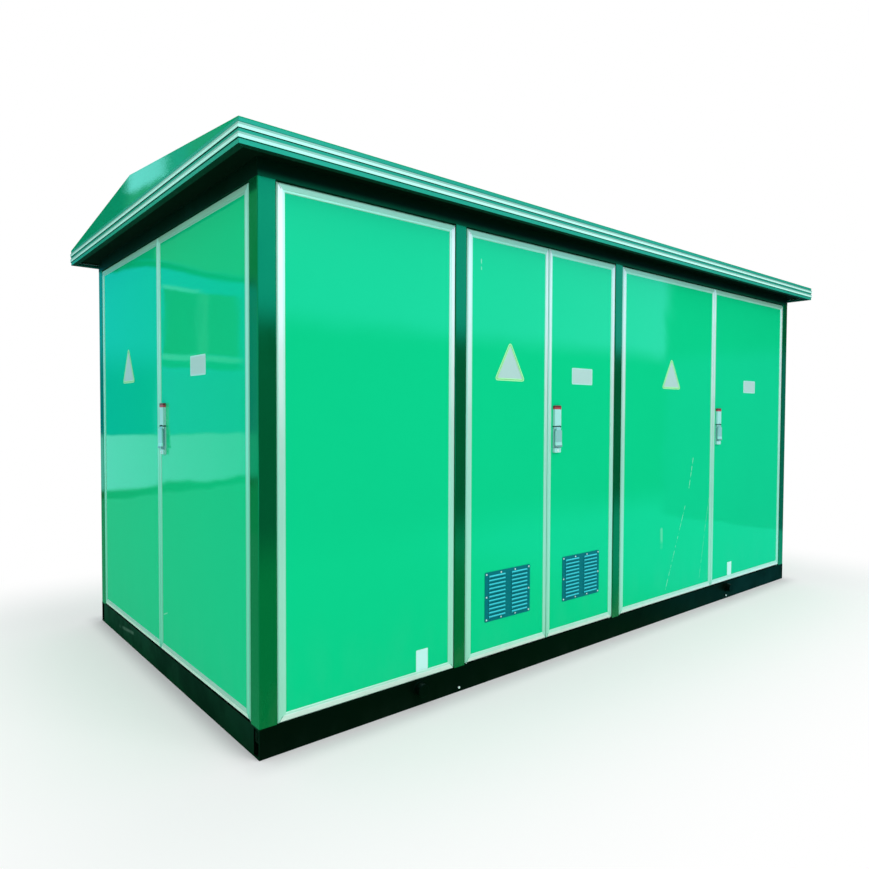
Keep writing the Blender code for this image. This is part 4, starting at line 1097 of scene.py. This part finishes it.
class SetStage(bpy.types.Operator):
    """Add the pale floor, the reflection cards, soft lamps and the camera"""
    bl_idname = "substation.set_stage"
    bl_label = "Set the stage"

    def execute(self, context):
        stage = context.scene.substation_stage
        self.lay_floor(stage)
        self.stand_cards(stage)
        self.light_world(context, stage)
        self.hang_lamps(stage)
        self.place_camera(context, stage)
        context.scene.view_settings.view_transform = "Standard"
        return {"FINISHED"}

    def lay_floor(self, stage):
        """A pale floor, matt beside the housing and as white as the background away from it."""
        deselect()
        bpy.ops.mesh.primitive_plane_add(size=stage.floor_size, location=(0.0, 0.0, -0.001))
        floor = bpy.context.object
        floor.name = "stage_floor"
        material = bpy.data.materials.new("stage floor pale")
        build = cleared(material)
        matt = build.add("ShaderNodeBsdfDiffuse", {"Color": (0.90, 0.865, 0.87)})
        white = build.add("ShaderNodeEmission", {"Color": (1.0, 1.0, 1.0), "Strength": 1.0})
        far = build.step(self.way_out(build, CAD_BOX[1]), 0.05, 1.5, 0.0, 0.65)
        near = build.step(self.way_out(build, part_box("base_frame")[1]), 0.0, 0.12, 0.0, 0.35)
        seen = build.times(build.plus(far, near), self.background_rays(build))
        blend = build.add("ShaderNodeMixShader", {0: seen, 1: matt.outputs[0], 2: white.outputs[0]})
        build.add("ShaderNodeOutputMaterial", {"Surface": blend.outputs[0]})
        material.cycles.emission_sampling = "NONE"
        floor.data.materials.append(material)

    def way_out(self, build, corner):
        """How far a place on the floor lies outside the box round the origin with this corner."""
        reach = build.vector("SUBTRACT", build.vector("ABSOLUTE", build.place()), (corner.x, corner.y, 0.0))
        return build.vector("LENGTH", build.vector("MAXIMUM", reach, (0.0, 0.0, 0.0)), output=1)

    def background_rays(self, build):
        """One for the rays that see the white background: camera, mirror and glass."""
        path = build.add("ShaderNodeLightPath").outputs
        mirror = build.math("MAXIMUM", path["Is Glossy Ray"], path["Is Transmission Ray"])
        return build.math("MAXIMUM", path["Is Camera Ray"], mirror)

    def stand_cards(self, stage):
        """A ring of cards that only glossy paint and metal show, as round a studio car."""
        low, high = CAD_BOX
        ring = block((0.0, 0.0, stage.card_height / 2),
                     (high.x - low.x + 2 * stage.card_gap, high.y - low.y + 2 * stage.card_gap,
                      stage.card_height))
        choose(ring, "FACE", lambda face: face.normal.z > 0.9)
        bpy.ops.mesh.delete(type="FACE")
        edit_all(ring, bpy.ops.mesh.flip_normals)
        ring.name = "stage_cards"
        bpy.ops.object.transform_apply(location=True, rotation=True, scale=True)
        for ray in ("camera", "diffuse", "shadow", "transmission", "volume_scatter"):
            setattr(ring, f"visible_{ray}", False)
        ring.data.materials.append(self.card_material())

    def card_material(self):
        """Open ground all round, and a yard beside the left end."""
        material = bpy.data.materials.new("stage card")
        build = cleared(material)
        parts = build.parts(build.place())
        beside = build.step(parts["X"], CAD_BOX[0].x + 0.05, CAD_BOX[0].x + 0.15, 1.0, 0.0)
        shade = build.mix(beside, self.open_ground(build, parts), self.yard(build, parts))
        facing = build.step(parts["X"], -4.95, -4.90, 1.0, 0.0)
        shade = build.mix(facing, shade, (0.25, 0.80, 0.65))
        card = build.add("ShaderNodeEmission", {"Color": shade, "Strength": 1.0})
        build.add("ShaderNodeOutputMaterial", {"Surface": card.outputs[0]})
        material.cycles.emission_sampling = "NONE"
        return material

    def open_ground(self, build, parts):
        """A lit foot, a dark card and a sky-coloured top, all darker on the right-hand card."""
        height = parts["Z"]
        foot = build.mix(build.step(parts["X"], 0.0, 2.0), (0.01, 0.42, 0.15), (0.05, 0.70, 0.70))
        shade = build.mix(build.step(height, 0.0, 0.5), foot, (0.0, 0.05, 0.03))
        right = build.step(parts["X"], CAD_BOX[1].x + 2.3, CAD_BOX[1].x + 2.45)
        shade = build.mix(right, shade, (0.02, 0.18, 0.30))
        sky = build.mix(right, (0.35, 1.00, 1.45), (0.0, 0.02, 0.0))
        shade = build.mix(build.step(height, 2.05, 2.35), shade, sky)
        return build.mix(build.step(height, 3.4, 3.8), shade, (0.08, 0.50, 0.48))

    def yard(self, build, parts):
        """Ground, a pale wall, a window and tree tops, as the boards and gable of the left end show."""
        height = parts["Z"]
        ripple = build.times(build.noise(build.place(), 1.4, 2.0), 0.3)
        wavy = build.plus(height, ripple)
        hump = build.between(parts["X"], -3.95, -3.35, 0.22)
        crest = build.minus(build.plus(height, build.times(ripple, 0.3)), build.times(hump, 0.04))
        crest = build.plus(crest, build.step(parts["X"], -3.50, -3.05, 0.0, 0.09))
        near = build.step(parts["X"], -3.62, -3.58, 1.0, 0.0)
        shade = (0.08, 0.55, 0.30)
        for value, low, high, softness, tone in (
                (wavy, 0.66, 0.75, 0.015, (0.02, 0.24, 0.06)),
                (wavy, 0.75, 1.34, 0.03, (0.34, 1.02, 1.05)),
                (height, 1.17, 9.00, 0.015, build.mix(near, (0.0, 0.34, 0.52), (0.04, 0.58, 0.78))),
                (height, 1.95, 9.00, 0.25, (0.02, 0.64, 0.92)),
                (crest, 2.975, 3.045, 0.02, (0.0, 0.16, 0.06)),
                (crest, 3.045, 9.00, 0.03, build.mix(near, (0.0, 0.14, 0.04), (0.07, 0.50, 0.22)))):
            shade = build.mix(build.between(value, low, high, softness), shade, tone)
        slant = build.plus(build.times(build.plus(parts["X"], 3.596), 0.744), height)
        for value, low, high, left, right, tone in (
                *((height, *pane) for pane in WINDOW),
                (slant, 3.68, 4.30, -3.990, -3.60, (0.58, 1.85, 1.92)),
                (height, 3.75, 4.50, -4.240, -4.02, (0.06, 0.56, 0.46))):
            inside = build.times(build.between(parts["X"], left, right, 0.012),
                                 build.between(value, low, high, 0.012))
            shade = build.mix(inside, shade, tone)
        posts = build.step(parts["X"], -4.67, -4.60, 1.0, 0.0)
        return build.mix(posts, shade, (0.05, 1.0, 0.7), "MULTIPLY")

    def light_world(self, context, stage):
        """White to the camera, and a soft sky with a darker horizon to everything else."""
        world = bpy.data.worlds.new("studio")
        build = cleared(world)
        height = build.parts(build.add("ShaderNodeTexCoord").outputs["Generated"])["Z"]
        sky = build.mix(build.step(height, 0.06, 0.13), (0.10, 0.20, 0.16), (0.92, 1.0, 1.0))
        soft = build.add("ShaderNodeBackground", {"Color": sky, "Strength": stage.sky})
        white = build.add("ShaderNodeBackground", {"Color": (1.0, 1.0, 1.0), "Strength": 1.0})
        blend = build.add("ShaderNodeMixShader", {0: self.background_rays(build), 1: soft.outputs[0],
                                                  2: white.outputs[0]})
        build.add("ShaderNodeOutputWorld", {"Surface": blend.outputs[0]})
        context.scene.world = world

    def hang_lamps(self, stage):
        """Two large soft lamps, aimed at the middle of the housing."""
        low, high = CAD_BOX
        aim = (low + high) / 2
        for name, place, size, power in (("key", Vector((1.5, -11.0, 7.5)), 7.0, stage.key_power),
                                         ("fill", Vector((-8.0, -1.0, 4.0)), 4.0, stage.fill_power)):
            deselect()
            turn = (aim - place).to_track_quat("-Z", "Y").to_euler()
            bpy.ops.object.light_add(type="AREA", location=place, rotation=turn)
            lamp = bpy.context.object
            lamp.name = f"{name}_lamp"
            lamp.data.size = size
            lamp.data.energy = power

    def place_camera(self, context, stage):
        """The photograph's viewpoint, found by fitting the corners of the frames."""
        right = Vector((0.76721, -0.64138, 0.00396))
        down = Vector((-0.01582, -0.02510, -0.99956))
        ahead = right.cross(down) * -1
        ahead = -ahead if ahead.y < 0 else ahead
        deselect()
        bpy.ops.object.camera_add(location=(-3.583, -3.692, 1.395))
        camera = bpy.context.object
        turn = Matrix((right, -down, -ahead)).transposed()
        camera.rotation_euler = turn.to_euler()
        camera.data.sensor_width = 36.0
        camera.data.sensor_fit = "HORIZONTAL"
        camera.data.lens = stage.focal_length
        context.scene.camera = camera


STEPS = (FinishSolids, AddTrianglePlates, AddFlatPlates, AddLabels, AddLouvreScrews, AddLockTrim,
         AddFrameSeams, AddStubWelds, AddEarthBolts, SetStage)


class SubstationPanel(bpy.types.Panel):
    """Sidebar panel with the steps that dress the housing"""
    bl_idname = "VIEW3D_PT_substation"
    bl_label = "Compact substation"
    bl_space_type = "VIEW_3D"
    bl_region_type = "UI"
    bl_category = "Substation"

    def draw(self, context):
        for step in STEPS:
            self.layout.operator(step.bl_idname)


SETTINGS = {
    "substation_colours": SubstationColours,
    "substation_plates": SubstationPlates,
    "substation_fixings": SubstationFixings,
    "substation_stage": SubstationStage,
}


def register():
    for group in SETTINGS.values():
        bpy.utils.register_class(group)
    for name, group in SETTINGS.items():
        setattr(bpy.types.Scene, name, PointerProperty(type=group))
    for step in STEPS:
        bpy.utils.register_class(step)
    bpy.utils.register_class(SubstationPanel)


def unregister():
    bpy.utils.unregister_class(SubstationPanel)
    for step in reversed(STEPS):
        bpy.utils.unregister_class(step)
    for name in SETTINGS:
        delattr(bpy.types.Scene, name)
    for group in reversed(SETTINGS.values()):
        bpy.utils.unregister_class(group)


def main():
    register()
    for step in STEPS:
        group, name = step.bl_idname.split(".")
        getattr(getattr(bpy.ops, group), name)()


if __name__ == "__main__":
    main()
